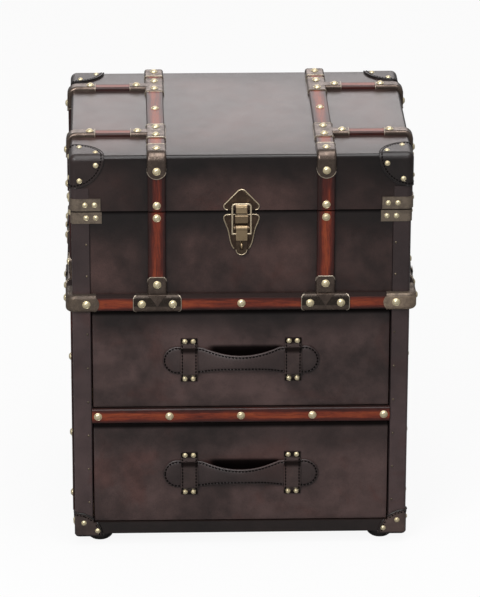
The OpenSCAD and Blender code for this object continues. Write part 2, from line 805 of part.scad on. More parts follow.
module lid_leather() color([0.2, 0.13, 0.11]) difference() {
    lid_block(0);
    lid_block(-leather_t);
    translate([-body_w, -body_d, z_lid - 1]) cube([2 * body_w, 2 * body_d, 1 + eps]);
}

module lid_lining() color("DimGray") {
    y0 = y_front - lid_overhang + leather_t + board_t;
    y1 = y_back - leather_t - board_t;
    top = z_top - leather_t - board_t;
    difference() {
        translate([-lid_in_x, y0, z_lid]) cube([2 * lid_in_x, y1 - y0, top - z_lid]);
        translate([-lid_in_x + lining_t, y0 + lining_t, z_lid - 1])
            cube([2 * (lid_in_x - lining_t), y1 - y0 - 2 * lining_t, top - z_lid + 1 - lining_t]);
    }
}

// Leather or metal round the lid's upright corners
module lid_corner_shell(z0, z1, inner, outer, leg) {
    w = body_w + 2 * lid_overhang;
    d = body_d + lid_overhang;
    translate([0, y_mid - lid_overhang / 2, z0]) linear_extrude(z1 - z0) intersection() {
        difference() {
            rounded_rect(w + 2 * outer, d + 2 * outer, lid_r + outer);
            rounded_rect(w + 2 * inner, d + 2 * inner, lid_r + inner);
        }
        for (sx = [-1, 1], sy = [-1, 1]) translate([sx * w / 2, sy * d / 2]) square(2 * leg, center = true);
    }
}

module lid_bindings() color([0.16, 0.1, 0.09])
    lid_corner_shell(z_lid + seam_h + 1, z_top - lid_patch_r, 0, patch_t, binding_w);

module lid_seam_plates() color("DarkKhaki")
    lid_corner_shell(z_lid + 1, z_lid + seam_h + 1, 0, patch_t + plate_t, seam_len);

module lid_corner_patches() color([0.18, 0.11, 0.1]) difference() {
    intersection() {
        lid_block(2 * patch_t);
        for (s = [-1, 1], y = [y_front - lid_overhang, y_back])
            translate([s * (body_w / 2 + lid_overhang), y, z_top]) hull() sphere(lid_patch_r);
    }
    lid_block(0);
}

// Lid slats

module lid_main_slats() color([0.45, 0.2, 0.12]) {
    for (s = [-1, 1]) {
        on_lid(0) translate([s * slat_x, 0, 0]) {
            over_top(lid_r, body_d + lid_overhang - lid_r) slat_profile(slat_w, slat_t, slat_r);
            upright(z_lid + 1, z_top - lid_r) slat_profile(slat_w, slat_t, slat_r);
        }
    }
}

module lid_cross_slats() color([0.45, 0.2, 0.12]) {
    inner = body_w / 2 + lid_overhang - slat_x - slat_w / 2 - plate_t;
    for (k = [1, 3], n = [0, 1]) on_lid(k) translate([side_slat_at(k, n), 0, 0]) {
        over_top(lid_r, inner) slat_profile(cross_w, slat_t, slat_r);
        upright(z_lid + 1, z_top - lid_r) slat_profile(cross_w, slat_t, slat_r);
    }
}

// Bracket that folds over the lid's edge, with a rounded lower end
module edge_bracket(w, top_leg, down_leg) {
    half = w / 2 + plate_t;
    over_top(lid_r, top_leg) channel_profile(w, slat_t, slat_r, plate_t);
    over_edge() channel_profile(w, slat_t, slat_r, plate_t);
    intersection() {
        upright(z_top - down_leg, z_top - lid_r) channel_profile(w, slat_t, slat_r, plate_t);
        rotate([90, 0, 0]) linear_extrude(60, center = true) {
            translate([0, z_top - down_leg + half]) circle(half);
            translate([-half, z_top - down_leg + half]) square([2 * half, down_leg - half]);
        }
    }
}

module lid_edge_brackets() color("DarkKhaki")
    for (k = [0, 2], s = [-1, 1]) on_lid(k) translate([s * slat_x, 0, 0])
        edge_bracket(slat_w, edge_top, edge_down);

module lid_side_brackets() color("DarkKhaki")
    for (k = [1, 3], n = [0, 1]) on_lid(k) translate([side_slat_at(k, n), 0, 0])
        edge_bracket(cross_w, edge_top, edge_down);

module lid_tees() color("DarkKhaki") {
    slat_in = body_w / 2 + lid_overhang - slat_x;
    for (k = [1, 3], n = [0, 1]) on_lid(k) translate([side_slat_at(k, n), 0, 0]) difference() {
        union() {
            over_top(slat_in - slat_w / 2 - tee_reach, slat_in) slat_profile(cross_w + 2 * plate_t,
                slat_t + plate_t, slat_r + plate_t);
            translate([-tee_head / 2, slat_in, z_top]) rotate([90, 0, 90]) linear_extrude(tee_head)
                slat_profile(slat_w + 2 * plate_t, slat_t + plate_t, slat_r + plate_t);
        }
        over_top(0, slat_in - slat_w / 2 - plate_t) slat_profile(cross_w, slat_t, slat_r);
        translate([-body_d, slat_in, z_top]) rotate([90, 0, 90]) linear_extrude(2 * body_d)
            slat_profile(slat_w, slat_t, slat_r);
        translate([-body_d / 2, 0, z_top - 1]) cube([body_d, slat_in + slat_w, 1 + eps]);
    }
}

// Nails on the lid

module top_nail(u, y, out, d, h) {
    translate([u, y, z_top + out]) dome(d, h);
}

module lid_dome_nails() color("Khaki") {
    bracket_out = slat_t + plate_t;
    slat_in = body_w / 2 + lid_overhang - slat_x;
    for (k = [0, 2], s = [-1, 1]) on_lid(k) {
        top_nail(s * slat_x, edge_nail_in, bracket_out, dome_d, dome_h);
        face_nail(s * slat_x, z_top - edge_nail_drop, bracket_out, dome_d, dome_h);
    }
    for (s = [-1, 1]) on_lid(0) {
        face_nail(s * slat_x, z_lid + slat_end_nail, slat_t, dome_d, dome_h);
        top_nail(s * slat_x, (body_d + cross_front - cross_back) / 2, slat_t, dome_d, dome_h);
    }
    for (k = [1, 3], n = [0, 1]) on_lid(k) translate([side_slat_at(k, n), 0, 0]) {
        top_nail(0, side_nail_in, bracket_out, dome_d, dome_h);
        face_nail(0, z_top - edge_nail_drop, bracket_out, dome_d, dome_h);
        face_nail(0, z_lid + slat_end_nail, slat_t, dome_d, dome_h);
        top_nail(0, slat_in - slat_w / 2 - tee_reach + slat_end_nail, bracket_out, dome_d, dome_h);
        for (t = [-1, 1]) top_nail(t * lid_tee_nail_x, slat_in, bracket_out, dome_d, dome_h);
    }
}

module lid_small_nails() color("Khaki") {
    for (k = [0 : 3], s = [-1, 1]) on_lid(k) {
        half = face_at(k + 1) + ((k % 2 == 0) ? lid_overhang : 0);
        for (u = seam_nails)
            face_nail(s * (half - u), z_lid + 1 + seam_h / 2, patch_t + plate_t, small_d, small_h);
        for (n = [0, 1])
            face_nail(s * (half - patch_nails[n]), z_top - patch_nails[1 - n], 2 * patch_t,
                small_d, small_h);
    }
    for (s = [-1, 1], k = [0, 2], n = [0, 1]) on_lid(k)
        top_nail(s * (body_w / 2 + lid_overhang - patch_nails[n]), patch_nails[1 - n], 2 * patch_t,
            small_d, small_h);
}

module lid_hinge_leaves() color("DarkKhaki") hinge_leaf(1);

// Drawers: bay is [lower edge, height]

lower_bay = [z_low, lower_bay_h];
upper_bay = [z_up, upper_bay_h];
front_y = y_front + front_recess;

// Block of the drawer front, drawn in by g from the leather's faces
module drawer_front_block(bay, g) {
    half = bay_x - front_gap - g;
    translate([-half, front_y + g, bay[0] + front_gap + g])
        cube([2 * half, leather_t + board_t - g, bay[1] - 2 * (front_gap + g)]);
}

module drawer_front(bay) color("BurlyWood") drawer_front_block(bay, leather_t);

module drawer_leather(bay) color([0.2, 0.13, 0.11]) difference() {
    drawer_front_block(bay, 0);
    drawer_front_block(bay, leather_t);
}

box_y0 = front_y + leather_t + board_t;
box_y1 = in_back - box_back_gap;

module drawer_box(bay) color("Peru") {
    h = bay[1] - box_lift - box_headroom;
    for (s = [-1, 1]) translate([s * (box_x - side_t / 2) - side_t / 2, box_y0, bay[0] + box_lift])
        cube([side_t, box_y1 - box_y0, h]);
    back_x = box_x - side_t - joint_gap;
    translate([-back_x, box_y1 - side_t, bay[0] + box_lift]) cube([2 * back_x, side_t, h]);
}

module drawer_bottom(bay) color("Tan") {
    half = box_x - side_t;
    translate([-half, box_y0, bay[0] + box_lift + 5]) cube([2 * half, box_y1 - side_t - box_y0, bottom_t]);
}

// Leather handle, drawn about its own middle on the drawer's face: -y points outwards

module at_handle(bay) {
    translate([0, front_y, bay[0] + bay[1] / 2 - handle_drop]) children();
}

// Outline of the strap: round ends that run into a drawn-in waist
module strap_outline() {
    end_r = strap_end_h / 2;
    end_x = strap_len / 2 - end_r;
    neck = 110;
    neck_x = end_x + end_r * cos(neck);
    steps = 10;
    waist = [for (i = [steps - 1 : -1 : 1 - steps]) let (u = i / steps)
        [u * neck_x, strap_waist_h / 2 + (end_r * sin(neck) - strap_waist_h / 2) * u * u]];
    polygon(concat(
        [for (a = [-neck : 10 : neck]) [end_x + end_r * cos(a), end_r * sin(a)]],
        waist,
        [for (a = [180 - neck : 10 : 180 + neck]) [-end_x + end_r * cos(a), end_r * sin(a)]],
        [for (p = waist) -p]));
}

module handle_strap(bay) color([0.14, 0.09, 0.08]) at_handle(bay) {
    bow_x = loop_x - loop_w / 2 - 5;
    ring_r = (bow_x * bow_x + strap_bow * strap_bow) / (2 * strap_bow);
    intersection() {
        translate([0, 0, -strap_end_h]) linear_extrude(2 * strap_end_h) {
            for (s = [-1, 1]) translate([s * (bow_x + strap_len / 2) / 2, -strap_gap - strap_t / 2])
                square([strap_len / 2 - bow_x + 1, strap_t], center = true);
            intersection() {
                translate([0, ring_r - strap_gap - strap_bow]) difference() {
                    circle(ring_r + strap_t, $fn = 160);
                    circle(ring_r, $fn = 160);
                }
                translate([-bow_x - 0.5, -3 * strap_bow]) square([2 * bow_x + 1, 3 * strap_bow - strap_gap]);
            }
        }
        rotate([90, 0, 0]) linear_extrude(8 * strap_bow, center = true) strap_outline();
    }
}

module handle_loops(bay) color([0.14, 0.09, 0.08]) at_handle(bay) {
    top = strap_gap + strap_t + strap_gap;
    inner = strap_end_h / 2 + 1.5;
    for (s = [-1, 1]) translate([s * loop_x - loop_w / 2, 0, 0]) rotate([90, 0, 90]) linear_extrude(loop_w)
        polygon([[0, loop_h / 2], [-loop_t, loop_h / 2], [-loop_t, inner + 2.5], [-top - loop_t, inner + 1],
            [-top - loop_t, -inner - 1], [-loop_t, -inner - 2.5], [-loop_t, -loop_h / 2], [0, -loop_h / 2],
            [0, -inner], [-top, -inner], [-top, inner], [0, inner]]);
}

module handle_tacks(bay) color("Khaki") at_handle(bay) {
    tack_z = loop_h / 2 - tack_d / 2 - 0.5;
    for (s = [-1, 1], t = [-1, 1], z = [-tack_z, tack_z])
        face_nail(s * loop_x + t * loop_w / 4, z, loop_t, tack_d, small_h);
}

module upper_drawer_front() drawer_front(upper_bay);
module upper_drawer_leather() drawer_leather(upper_bay);
module upper_drawer_box() drawer_box(upper_bay);
module upper_drawer_bottom() drawer_bottom(upper_bay);
module upper_handle_loops() handle_loops(upper_bay);
module upper_handle_tacks() handle_tacks(upper_bay);
module upper_handle_strap() handle_strap(upper_bay);
module lower_drawer_front() drawer_front(lower_bay);
module lower_drawer_leather() drawer_leather(lower_bay);
module lower_drawer_box() drawer_box(lower_bay);
module lower_drawer_bottom() drawer_bottom(lower_bay);
module lower_handle_loops() handle_loops(lower_bay);
module lower_handle_tacks() handle_tacks(lower_bay);
module lower_handle_strap() handle_strap(lower_bay);

cabinet_sides();
back_panel();
base_board();
front_frame();
drawer_runners();
trunk_floor();
trunk_front_wall();
trunk_lining();
cabinet_leather();
trunk_leather();
corner_bindings();
middle_band();
divider_band();
band_caps();
band_tees();
trunk_front_slats();
side_slats();
trunk_seam_plates();
base_dome_nails();
base_small_nails();
binding_pins();
bottom_corner_caps();
bun_feet();
latch_base_plate();
latch_rivet();
trunk_hinge_leaves();
hinge_pins();
lid_top_board();
lid_frame_boards();
lid_leather();
lid_lining();
lid_bindings();
lid_main_slats();
lid_cross_slats();
lid_edge_brackets();
lid_tees();
lid_side_brackets();
lid_corner_patches();
lid_seam_plates();
lid_dome_nails();
lid_small_nails();
latch_catch_plate();
lid_hinge_leaves();
latch_lever();
latch_bail();
upper_drawer_front();
upper_drawer_leather();
upper_drawer_box();
upper_drawer_bottom();
upper_handle_loops();
upper_handle_tacks();
upper_handle_strap();
lower_drawer_front();
lower_drawer_leather();
lower_drawer_box();
lower_drawer_bottom();
lower_handle_loops();
lower_handle_tacks();
lower_handle_strap();
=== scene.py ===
# %% [markdown]
# # An accent chest: leather, mahogany slats and antique brass
#
# The chest is already built as solids, in metres, with its joints. This lesson dresses it. Some
# solids only need a good material, and others are hidden behind a piece with more detail.
# Nothing from the solids is moved.

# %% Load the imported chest
import json
import math
import bmesh
import bpy
from mathutils import Matrix, Vector


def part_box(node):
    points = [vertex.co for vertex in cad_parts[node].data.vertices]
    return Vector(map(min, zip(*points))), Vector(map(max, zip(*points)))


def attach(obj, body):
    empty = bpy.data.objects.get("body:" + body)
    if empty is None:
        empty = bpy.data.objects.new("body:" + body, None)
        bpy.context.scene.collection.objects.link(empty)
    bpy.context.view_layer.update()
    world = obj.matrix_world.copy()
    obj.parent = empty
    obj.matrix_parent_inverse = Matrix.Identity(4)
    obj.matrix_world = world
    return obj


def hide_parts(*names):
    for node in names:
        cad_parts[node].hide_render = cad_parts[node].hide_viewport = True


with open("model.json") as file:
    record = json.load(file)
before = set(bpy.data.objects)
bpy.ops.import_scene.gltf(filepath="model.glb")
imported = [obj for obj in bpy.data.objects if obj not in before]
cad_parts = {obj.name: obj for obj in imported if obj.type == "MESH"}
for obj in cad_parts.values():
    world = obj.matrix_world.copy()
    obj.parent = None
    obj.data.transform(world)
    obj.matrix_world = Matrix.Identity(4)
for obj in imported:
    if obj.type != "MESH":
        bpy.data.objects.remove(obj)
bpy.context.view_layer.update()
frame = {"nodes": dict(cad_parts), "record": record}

nodes = frame["nodes"]

# %% [markdown]
# ## The levels that the pieces share
#
# A new piece has to sit on the solid that carries it. So its place comes from the solids' own
# boxes, and a change in their source moves it too.

# %% Faces and levels of the chest
DRAWERS = ("upper", "lower")
UP, BACKWARDS = Vector((0, 0, 1)), Vector((0, 1, 0))
skin_lo, skin_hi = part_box("cabinet_leather")
trunk_lo, trunk_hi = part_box("trunk_leather")
lid_lo, lid_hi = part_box("lid_leather")
band_lo, band_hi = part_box("middle_band")
front_y, back_y = skin_lo.y, skin_hi.y
half_w = skin_hi.x
lid_top = lid_hi.z
middle_y = (front_y + back_y) / 2
band_z = (band_lo.z + band_hi.z) / 2


def islands(node):
    """Lowest and highest corner of each separate solid in a CAD node, from the left."""
    net = bmesh.new()
    net.from_mesh(nodes[node].data)
    bmesh.ops.remove_doubles(net, verts=net.verts, dist=1e-6)
    left = set(net.verts)
    found = []
    while left:
        ring = [left.pop()]
        for vert in ring:
            beside = {edge.other_vert(vert) for edge in vert.link_edges} & left
            left -= beside
            ring += beside
        found.append([Vector([end(v.co[i] for v in ring) for i in range(3)]) for end in (min, max)])
    net.free()
    return sorted(found, key=lambda box: tuple(box[0]))


def spans(node, name):
    """Where a node's solids begin and end along an axis."""
    i = "XYZ".index(name)
    return sorted({(round(lo[i], 4), round(hi[i], 4)) for lo, hi in islands(node)})


print("front %.4f, back %.4f, lid top %.4f" % (front_y, back_y, lid_top))

# %% [markdown]
# ## The camera
#
# The photograph was taken from far off with a long lens, a little above the chest and to its
# left, so the upright edges stay almost parallel. The view is written as yaw, pitch and roll,
# which are easy to correct one at a time while the render is compared with the photograph.

# %% Camera at the photograph's viewing angle
def added(name, data):
    """A new object in the scene."""
    made = bpy.data.objects.new(name, data)
    bpy.context.scene.collection.objects.link(made)
    return made


PHOTO_H = 597
FOCAL_PX = 4000
SENSOR = 36
EYE = Vector((-0.163, front_y - 5.049, 2.348))
YAW, PITCH, ROLL = math.radians(1.83), math.radians(21.43), math.radians(0.16)

lens = bpy.data.cameras.new("camera")
lens.sensor_fit = "VERTICAL"
lens.sensor_height = SENSOR
lens.lens = FOCAL_PX / PHOTO_H * SENSOR
lens.clip_end = 50
camera = added("camera", lens)
camera.matrix_world = Matrix.Translation(EYE)
for angle, name in ((-YAW, "Z"), (math.pi / 2 - PITCH, "X"), (ROLL, "Z")):
    camera.matrix_world @= Matrix.Rotation(angle, 4, name)
bpy.context.scene.camera = camera
print("lens", round(lens.lens, 1), "mm")

# %% [markdown]
# ## Shader sums as Python sums
#
# Materials are graphs of nodes, and long graphs are hard to read. A small class wraps one output
# socket. Its operators add Math nodes, so `1 - worn * 0.4` builds the nodes it stands for, and
# its `of` method adds any other node.

# %% A flow: one shader output with operators
def feed(socket, value):
    """Links a flow to a socket, or sets a plain value."""
    if isinstance(value, Flow):
        value.tree.links.new(value.socket, socket)
    elif socket.type == "RGBA" and len(value) == 3:
        socket.default_value = (*value, 1)
    else:
        socket.default_value = value


class Flow:
    """One output socket of a material, with sums written as Python."""

    def __init__(self, tree, socket=None):
        self.tree = tree
        self.socket = socket

    def of(self, kind, settings=None, out=0, **values):
        """A new node's output. A value named _0 feeds the first socket, and so on."""
        node = self.tree.nodes.new("ShaderNode" + kind)
        for key, value in (settings or {}).items():
            setattr(node, key, value)
        for key, value in values.items():
            feed(node.inputs[int(key[1:]) if key[0] == "_" else key.replace("_", " ")], value)
        return Flow(self.tree, node.outputs[out])

    def math(self, operation, a, b=0.0):
        return self.of("Math", {"operation": operation}, _0=a, _1=b)

    __add__ = __radd__ = lambda a, b: a.math("ADD", a, b)
    __sub__ = lambda a, b: a.math("SUBTRACT", a, b)
    __rsub__ = lambda a, b: a.math("SUBTRACT", b, a)
    __mul__ = lambda a, b: a.math("MULTIPLY", a, b)
    __abs__ = lambda a: a.math("ABSOLUTE", a)

    def above(self, low, high):
        """0 below low, 1 above high, and smooth between them."""
        return self.of("MapRange", {"interpolation_type": "SMOOTHSTEP"}, Value=self, From_Min=low,
                       From_Max=high)

    def mix(self, a, b):
        """Colour a where this flow is 0, and colour b where it is 1."""
        return self.of("Mix", {"data_type": "RGBA"}, 2, _0=self, _6=a, _7=b)


# %% Patterns that several finishes use
def clouds(where, scale, detail=3.0, rough=0.5, twist=0.0):
    """Soft blotches, from 0 to 1, about 1/scale metres across."""
    return where.of("TexNoise", Vector=where, Scale=scale, Detail=detail, Roughness=rough,
                    Distortion=twist)


def stretched(where, *scale):
    """The place, scaled along X, Y and Z."""
    return where.of("Mapping", Vector=where, Scale=scale)


def axis(where, name):
    """One coordinate of a place: X, Y or Z."""
    return where.of("SeparateXYZ", out="XYZ".index(name), Vector=where)


def waves(where, name, scale):
    """Even waves along an axis."""
    return where.of("TexWave", {"wave_type": "BANDS", "bands_direction": name}, 1, Vector=where,
                    Scale=scale)


def between(value, low, high, reach):
    """1 well inside low to high, and 0 at either end, over a soft reach."""
    return value.above(low, low + reach) * (1 - value.above(high - reach, high))


# %% Starting and closing a material
shelf = {}


def new_material(name):
    """The place of each point of a new material, in the chest's frame and in metres."""
    made = shelf[name] = bpy.data.materials.new(name)
    made.use_nodes = True
    return Flow(made.node_tree).of("TexCoord", out=3)


def paint(relief, shade, rough, **others):
    """Feeds the shader's sockets. Relief is a bump's strength, its depth and its height."""
    strength, depth, height = relief
    bump = height.of("Bump", Strength=strength, Distance=depth, Height=height)
    shader = height.tree.nodes["Principled BSDF"]
    for key, value in dict(others, Base_Color=shade, Roughness=rough, Normal=bump).items():
        feed(shader.inputs[key.replace("_", " ")], value)


print("shader helpers ready")

# %% [markdown]
# ## Leather
#
# The chest is covered in thin, waxed, espresso-brown leather. Close to, it has a fine pebble
# grain. From a step back it is glossy, with reddish patches where the wax has worn off. A scan of
# leather would show its repeats on panels this wide, so three layers make it: a colour mixed by
# large soft clouds, a roughness that follows small ones, and a bump of small cells for the grain.

# %% One recipe for every leather
CHERRY = (0.95, 0.62, 0.55)  # turns the warm colour redder
# A panel's dark border is partly burnish and partly painted shade.
REACH = 0.055                # how wide a panel's dark border is
LONG = 0.08                  # longer sides of a panel have a wandering edge
SEAM, SEAM_REACH = 0.0007, 0.0004


def inside(values, wander, box, reach):
    """1 well inside a box, and 0 at its walls."""
    part = 1.0
    for value, span in zip(values, box):
        if span:
            long = span[1] - span[0]
            value = value + wander if long > LONG else value
            part = between(value, *span, min(reach, 0.42 * long)) * part
    return part


def leather(name, dark, warm, rough, grain=0.3, panels=(), share=0.88, dark_areas=(), reach=REACH,
            seams=()):
    """Leather between two colours. A panel is a span of x without its sign, one of y, one of z,
    and how much it glows. A dark area is a span of x and one of z, and a seam is an axis and a
    level.
    Both are nearly black. The dark areas are painted shade under the lid's edge, under the band and
    above the handles, darker parts of the loops, and the dark thread's own colour."""
    where = new_material(name)
    x, y, z = (axis(where, n) for n in "XYZ")
    big = clouds(where, 7, 4, 0.6, 0.5).above(0.33, 0.72)
    small = clouds(where, 45, 4, 0.6).above(0.3, 0.75)
    wear_and_painted_light = big * 0.7 + small * 0.3
    if panels:
        wander = (clouds(where, 16) * 0.03 - 0.015) * (reach / REACH)
        # The panels' glow: partly burnish, partly painted sheen in the middle and painted shade at
        # the edges.
        glow = sum(inside((abs(x), y, z), wander, box, reach) * part for *box, part in panels)
        wear_and_painted_light = wear_and_painted_light * (1 - share) + glow * (0.25 + wear_and_painted_light * 0.8) * share
    undarkened = 1.0
    # Dark areas, most of them painted shade.
    for across, upright in dark_areas:
        undarkened = (1 - between(x, *across, 0.015) * between(z, *upright, 0.006) * 0.9) * undarkened
    for n, level in seams:
        value = abs(x) if n == "X" else y
        undarkened = (1 - between(value, level - SEAM, level + SEAM, SEAM_REACH)) * undarkened
    cells = where.of("TexVoronoi", {"feature": "DISTANCE_TO_EDGE"}, Vector=where, Scale=780.0)
    furrow = 1 - cells.above(0.0, 0.22)
    cherry = clouds(where, 11, 4, 0.6, 0.8).above(0.52, 0.68) * 0.55
    red = [a * b for a, b in zip(warm, CHERRY)]
    tint = (wear_and_painted_light * undarkened).mix(dark, cherry.mix(warm, red))
    shade = (furrow * 0.4).mix(tint, [0.5 * c for c in dark])
    height = clouds(where, 1500, 2) * 0.25 - furrow * 0.5 + clouds(where, 120) * 0.8
    # Dark areas turn metallic with a near-black colour, so they reflect almost nothing and the
    # painted shade stays black.
    paint((grain, 0.0004, height), shade, rough + small * 0.05, Coat_Roughness=0.2,
          Metallic=(1 - undarkened) * 0.92, Coat_Weight=undarkened * 0.15, Specular_IOR_Level=0.4)


# %% [markdown]
# ## Panels between the slats
#
# Each field of leather between two slats is shaded by itself: it glows in its middle and is
# nearly black at its edges. That is partly burnish of the leather and partly painted sheen in the
# middle and painted shade where the field meets a slat, a corner or the band. A painted mask could
# hold that. Here it is worked out from the distance to the edges of the solids' boxes, so it stays
# sharp and follows a change of size.

# %% Where the panels lie
SLAT_W = 0.024
UNDER = 0.022        # how far a panel runs in under its slats
WIDE = (-0.3, 0.3)   # more than the chest's width
slat_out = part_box("trunk_front_slats")[1].x
slat_in = slat_out - SLAT_W
columns = [(-slat_in - UNDER, slat_in + UNDER), (slat_out - UNDER, half_w + UNDER)]
cuts = [front_y] + [y for span in spans("side_slats", "Y") for y in span] + [back_y]
side_columns = list(zip(cuts[::2], cuts[1::2]))


def at(level):
    """A span about a wall."""
    return level - 0.03, level + 0.03


def sides(z):
    """Panels between the slats of the sides, and one on the back."""
    return [(at(half_w), y, z, 1) for y in side_columns] + [(WALL, at(back_y), z, 1)]


def walls(z, outer=0.85):
    """The same and the front's: one between its slats, and one outside each of them."""
    return [(x, at(front_y), z, part) for x, part in zip(columns, (1, outer))] + sides(z)


WALL = (-half_w, half_w)
print("panels:", len(columns), "on the front,", len(side_columns), "on a side")

# %% The large leathers
DARK = (0.0035, 0.0021, 0.0020)
BINDING_X, BINDING_Y = 0.2046, 0.0244  # where the corner bindings are sewn on
fronts = [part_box(drawer + "_drawer_leather") for drawer in DRAWERS]
grips = [sum(v.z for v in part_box(drawer + "_handle_strap")) / 2 for drawer in DRAWERS]
# The lid's front is painted dark at its top and paler lower down: painted sheen, partly burnish.
leather("lid_leather", DARK, (0.076, 0.040, 0.035), 0.28, 0.09, reach=0.07,
        panels=walls((lid_lo.z - 0.06, lid_top - 0.006), 0.55)
        + [(x, (lid_lo.y, lid_hi.y), at(lid_top), 1) for x in columns])
# Painted shadow under the lid's edge: the front darkens towards its top and is nearly black just
# under the lid.
leather("trunk_leather", DARK, (0.096, 0.051, 0.045), 0.3, 0.2,
        panels=walls((trunk_lo.z - 0.02, trunk_hi.z - 0.008)),
        dark_areas=[(WIDE, (trunk_hi.z - 0.0065, trunk_hi.z + 0.01))])
# Painted shadow above each strap, and painted shade along each front's top edge under the band and
# the divider.
leather("drawer_leather", DARK, (0.108, 0.065, 0.060), 0.3, 0.2, reach=0.06, share=0.75,
        panels=[(None, None, (lo.z - 0.06, hi.z), 1) for lo, hi in fronts],
        dark_areas=[((-0.050, 0.062), (grip + 0.001, grip + 0.0235)) for grip in grips]
        + [(WIDE, (hi.z - 0.010, hi.z + 0.01)) for lo, hi in fronts])
leather("espresso_leather", (0.009, 0.006, 0.0055), (0.095, 0.056, 0.051), 0.33, 0.2,
        sides((skin_lo.z - 0.02, trunk_lo.z - 0.004)), 0.85)
leather("binding_leather", (0.026, 0.017, 0.017), (0.082, 0.052, 0.051), 0.33, 0.25,
        panels=[(None, None, (-0.2, band_lo.z + 0.05), 1)], share=0.6,
        seams=[("X", BINDING_X), ("Y", front_y + BINDING_Y), ("Y", back_y - BINDING_Y)])
print("large leathers:", *shelf)

# %% Leathers of the small pieces
LOOP_SHADES = ((0.009, 0.04), (-0.04, -0.023))  # above and below the strap
leather("cap_leather", (0.030, 0.020, 0.018), (0.105, 0.069, 0.059), 0.36)
leather("trim_leather", (0.006, 0.004, 0.0038), (0.028, 0.0165, 0.015), 0.36)
leather("welt_leather", (0.004, 0.003, 0.003), (0.020, 0.0125, 0.011), 0.5)
leather("handle_leather", (0.018, 0.0112, 0.011), (0.055, 0.0355, 0.033), 0.4, 0.35)
leather("loop_leather", (0.017, 0.011, 0.010), (0.080, 0.050, 0.045), 0.33,
        dark_areas=[(WIDE, (grip + a, grip + b)) for grip in grips for a, b in LOOP_SHADES])
# A pale painted highlight along the strap's rounded edge.
leather("edge_leather", (0.085, 0.062, 0.052), (0.16, 0.12, 0.10), 0.45)
leather("dark_thread", (0.003, 0.0018, 0.0016), (0.010, 0.005, 0.004), 0.6,
        dark_areas=[(WIDE, (-1, 1))])
print("leathers:", len(shelf))

# %% [markdown]
# ## Mahogany
#
# The slats are stained a strong red-brown and lacquered. Grain is a pattern that is squeezed
# across the wood and stretched along it, so a finish has to know which way its slat runs. The
# lid's slats run upright below the lid's edge and level above it. Each slat is painted paler
# along its middle and darker at its edges: a painted highlight and painted shade on its rounded
# face.

# %% Mahogany finishes
FAR = 9.0  # higher than any slat
STAIN = ((0.2, (0.015, 0.0032, 0.0024)), (0.45, (0.065, 0.009, 0.005)),
         (0.62, (0.17, 0.026, 0.009)), (0.85, (0.31, 0.066, 0.018)))


def ramp(value, stops):
    """Colours that follow each other as the value grows."""
    made = value.of("ValToRGB", Fac=value)
    elements = made.socket.node.color_ramp.elements
    while len(elements) < len(stops):
        elements.new(0.5)
    for element, (level, shade) in zip(elements, stops):
        element.position = level
        element.color = (*shade, 1)
    return made


def grain_along(where, name):
    return stretched(where, *(9 if n == name else 130 for n in "XYZ"))


def off_centre(value, places):
    """0 along the middle of each slat, and 1 at its edges."""
    least, *gaps = [abs(value - (a + b) / 2) for a, b in places]
    for gap in gaps:
        least = least.math("MINIMUM", least, gap)
    return least * (2 / (places[0][1] - places[0][0]))


def mahogany(name, along, node, across, on_lid=None, dull_and_shaded_from=FAR):
    """Grain runs along one axis, and along another one on the lid's top. The node's solids are
    painted paler along their middle, which is found across them: a painted highlight."""
    where = new_material(name)
    scaled = grain_along(where, along)
    patchy = clouds(where, 14) * 0.44 - 0.24
    if on_lid:
        above = axis(where, "Z").above(lid_top - 0.001, lid_top + 0.001)
        scaled = above.mix(scaled, grain_along(where, on_lid))
        patchy = patchy + above * 0.18 - 0.17
    figure = clouds(scaled, 1.0, 5, 0.6, 0.8)
    streaks = clouds(scaled, 5.0, 4, 0.65, 0.3)
    pores = clouds(scaled, 16.0, 2).above(0.52, 0.66)
    edge = off_centre(axis(where, across), spans(node, across)).above(0.2, 1.0)
    # Painted highlight along each slat's middle and painted shade at its edges.
    glow = figure * 0.5 + streaks * 0.5 + 0.15 - edge * 0.4
    # Above a height the wood is rougher and painted darker: painted shade along the band's top,
    # where a lamp highlight would show.
    dull_and_shaded = axis(where, "Z").above(dull_and_shaded_from, dull_and_shaded_from + 0.002)
    shade = (pores * 0.5).mix(ramp(glow + patchy, STAIN), (0.02, 0.005, 0.004))
    shade = dull_and_shaded.mix(shade, (0.012, 0.004, 0.003))
    paint((0.15, 0.0003, streaks * 0.5 - pores * 0.8), shade, 0.34 + streaks * 0.15 + dull_and_shaded * 0.5,
          Coat_Weight=0.16 - dull_and_shaded * 0.16, Coat_Roughness=0.14, Specular_IOR_Level=0.35)


# The band is painted dark along its top: painted shade.
mahogany("mahogany_band", "X", "middle_band", "Z", dull_and_shaded_from=band_hi.z - 0.004)
mahogany("mahogany_divider", "X", "divider_band", "Z")
mahogany("mahogany_upright", "Z", "trunk_front_slats", "X")
mahogany("mahogany_side", "Z", "side_slats", "Y")
mahogany("mahogany_lid_long", "Z", "trunk_front_slats", "X", "Y")
mahogany("mahogany_lid_cross", "Z", "side_slats", "Y", "X")
print("woods ready")

# %% [markdown]
# ## Plywood, lining and lacquer
#
# Inside, the boards are plain plywood and the trunk is lined with a dark brown woven cloth. The
# bun feet are turned wood under black lacquer, with the faint rings of a lathe. All of it is
# small in the picture, so stretched patterns and waves are enough.

# %% Plywood
def plywood(name, pale, deep):
    where = new_material(name)
    figure = clouds(stretched(where, 7, 60, 60), 1.0, 5, 0.6, 1.2)
    pores = clouds(stretched(where, 90, 700, 700), 1.0, 2).above(0.5, 0.7)
    shade = (figure * 0.8 + pores * 0.2).mix(deep, pale)
    paint((0.15, 0.0003, figure - pores), shade, 0.55 + pores * 0.15)


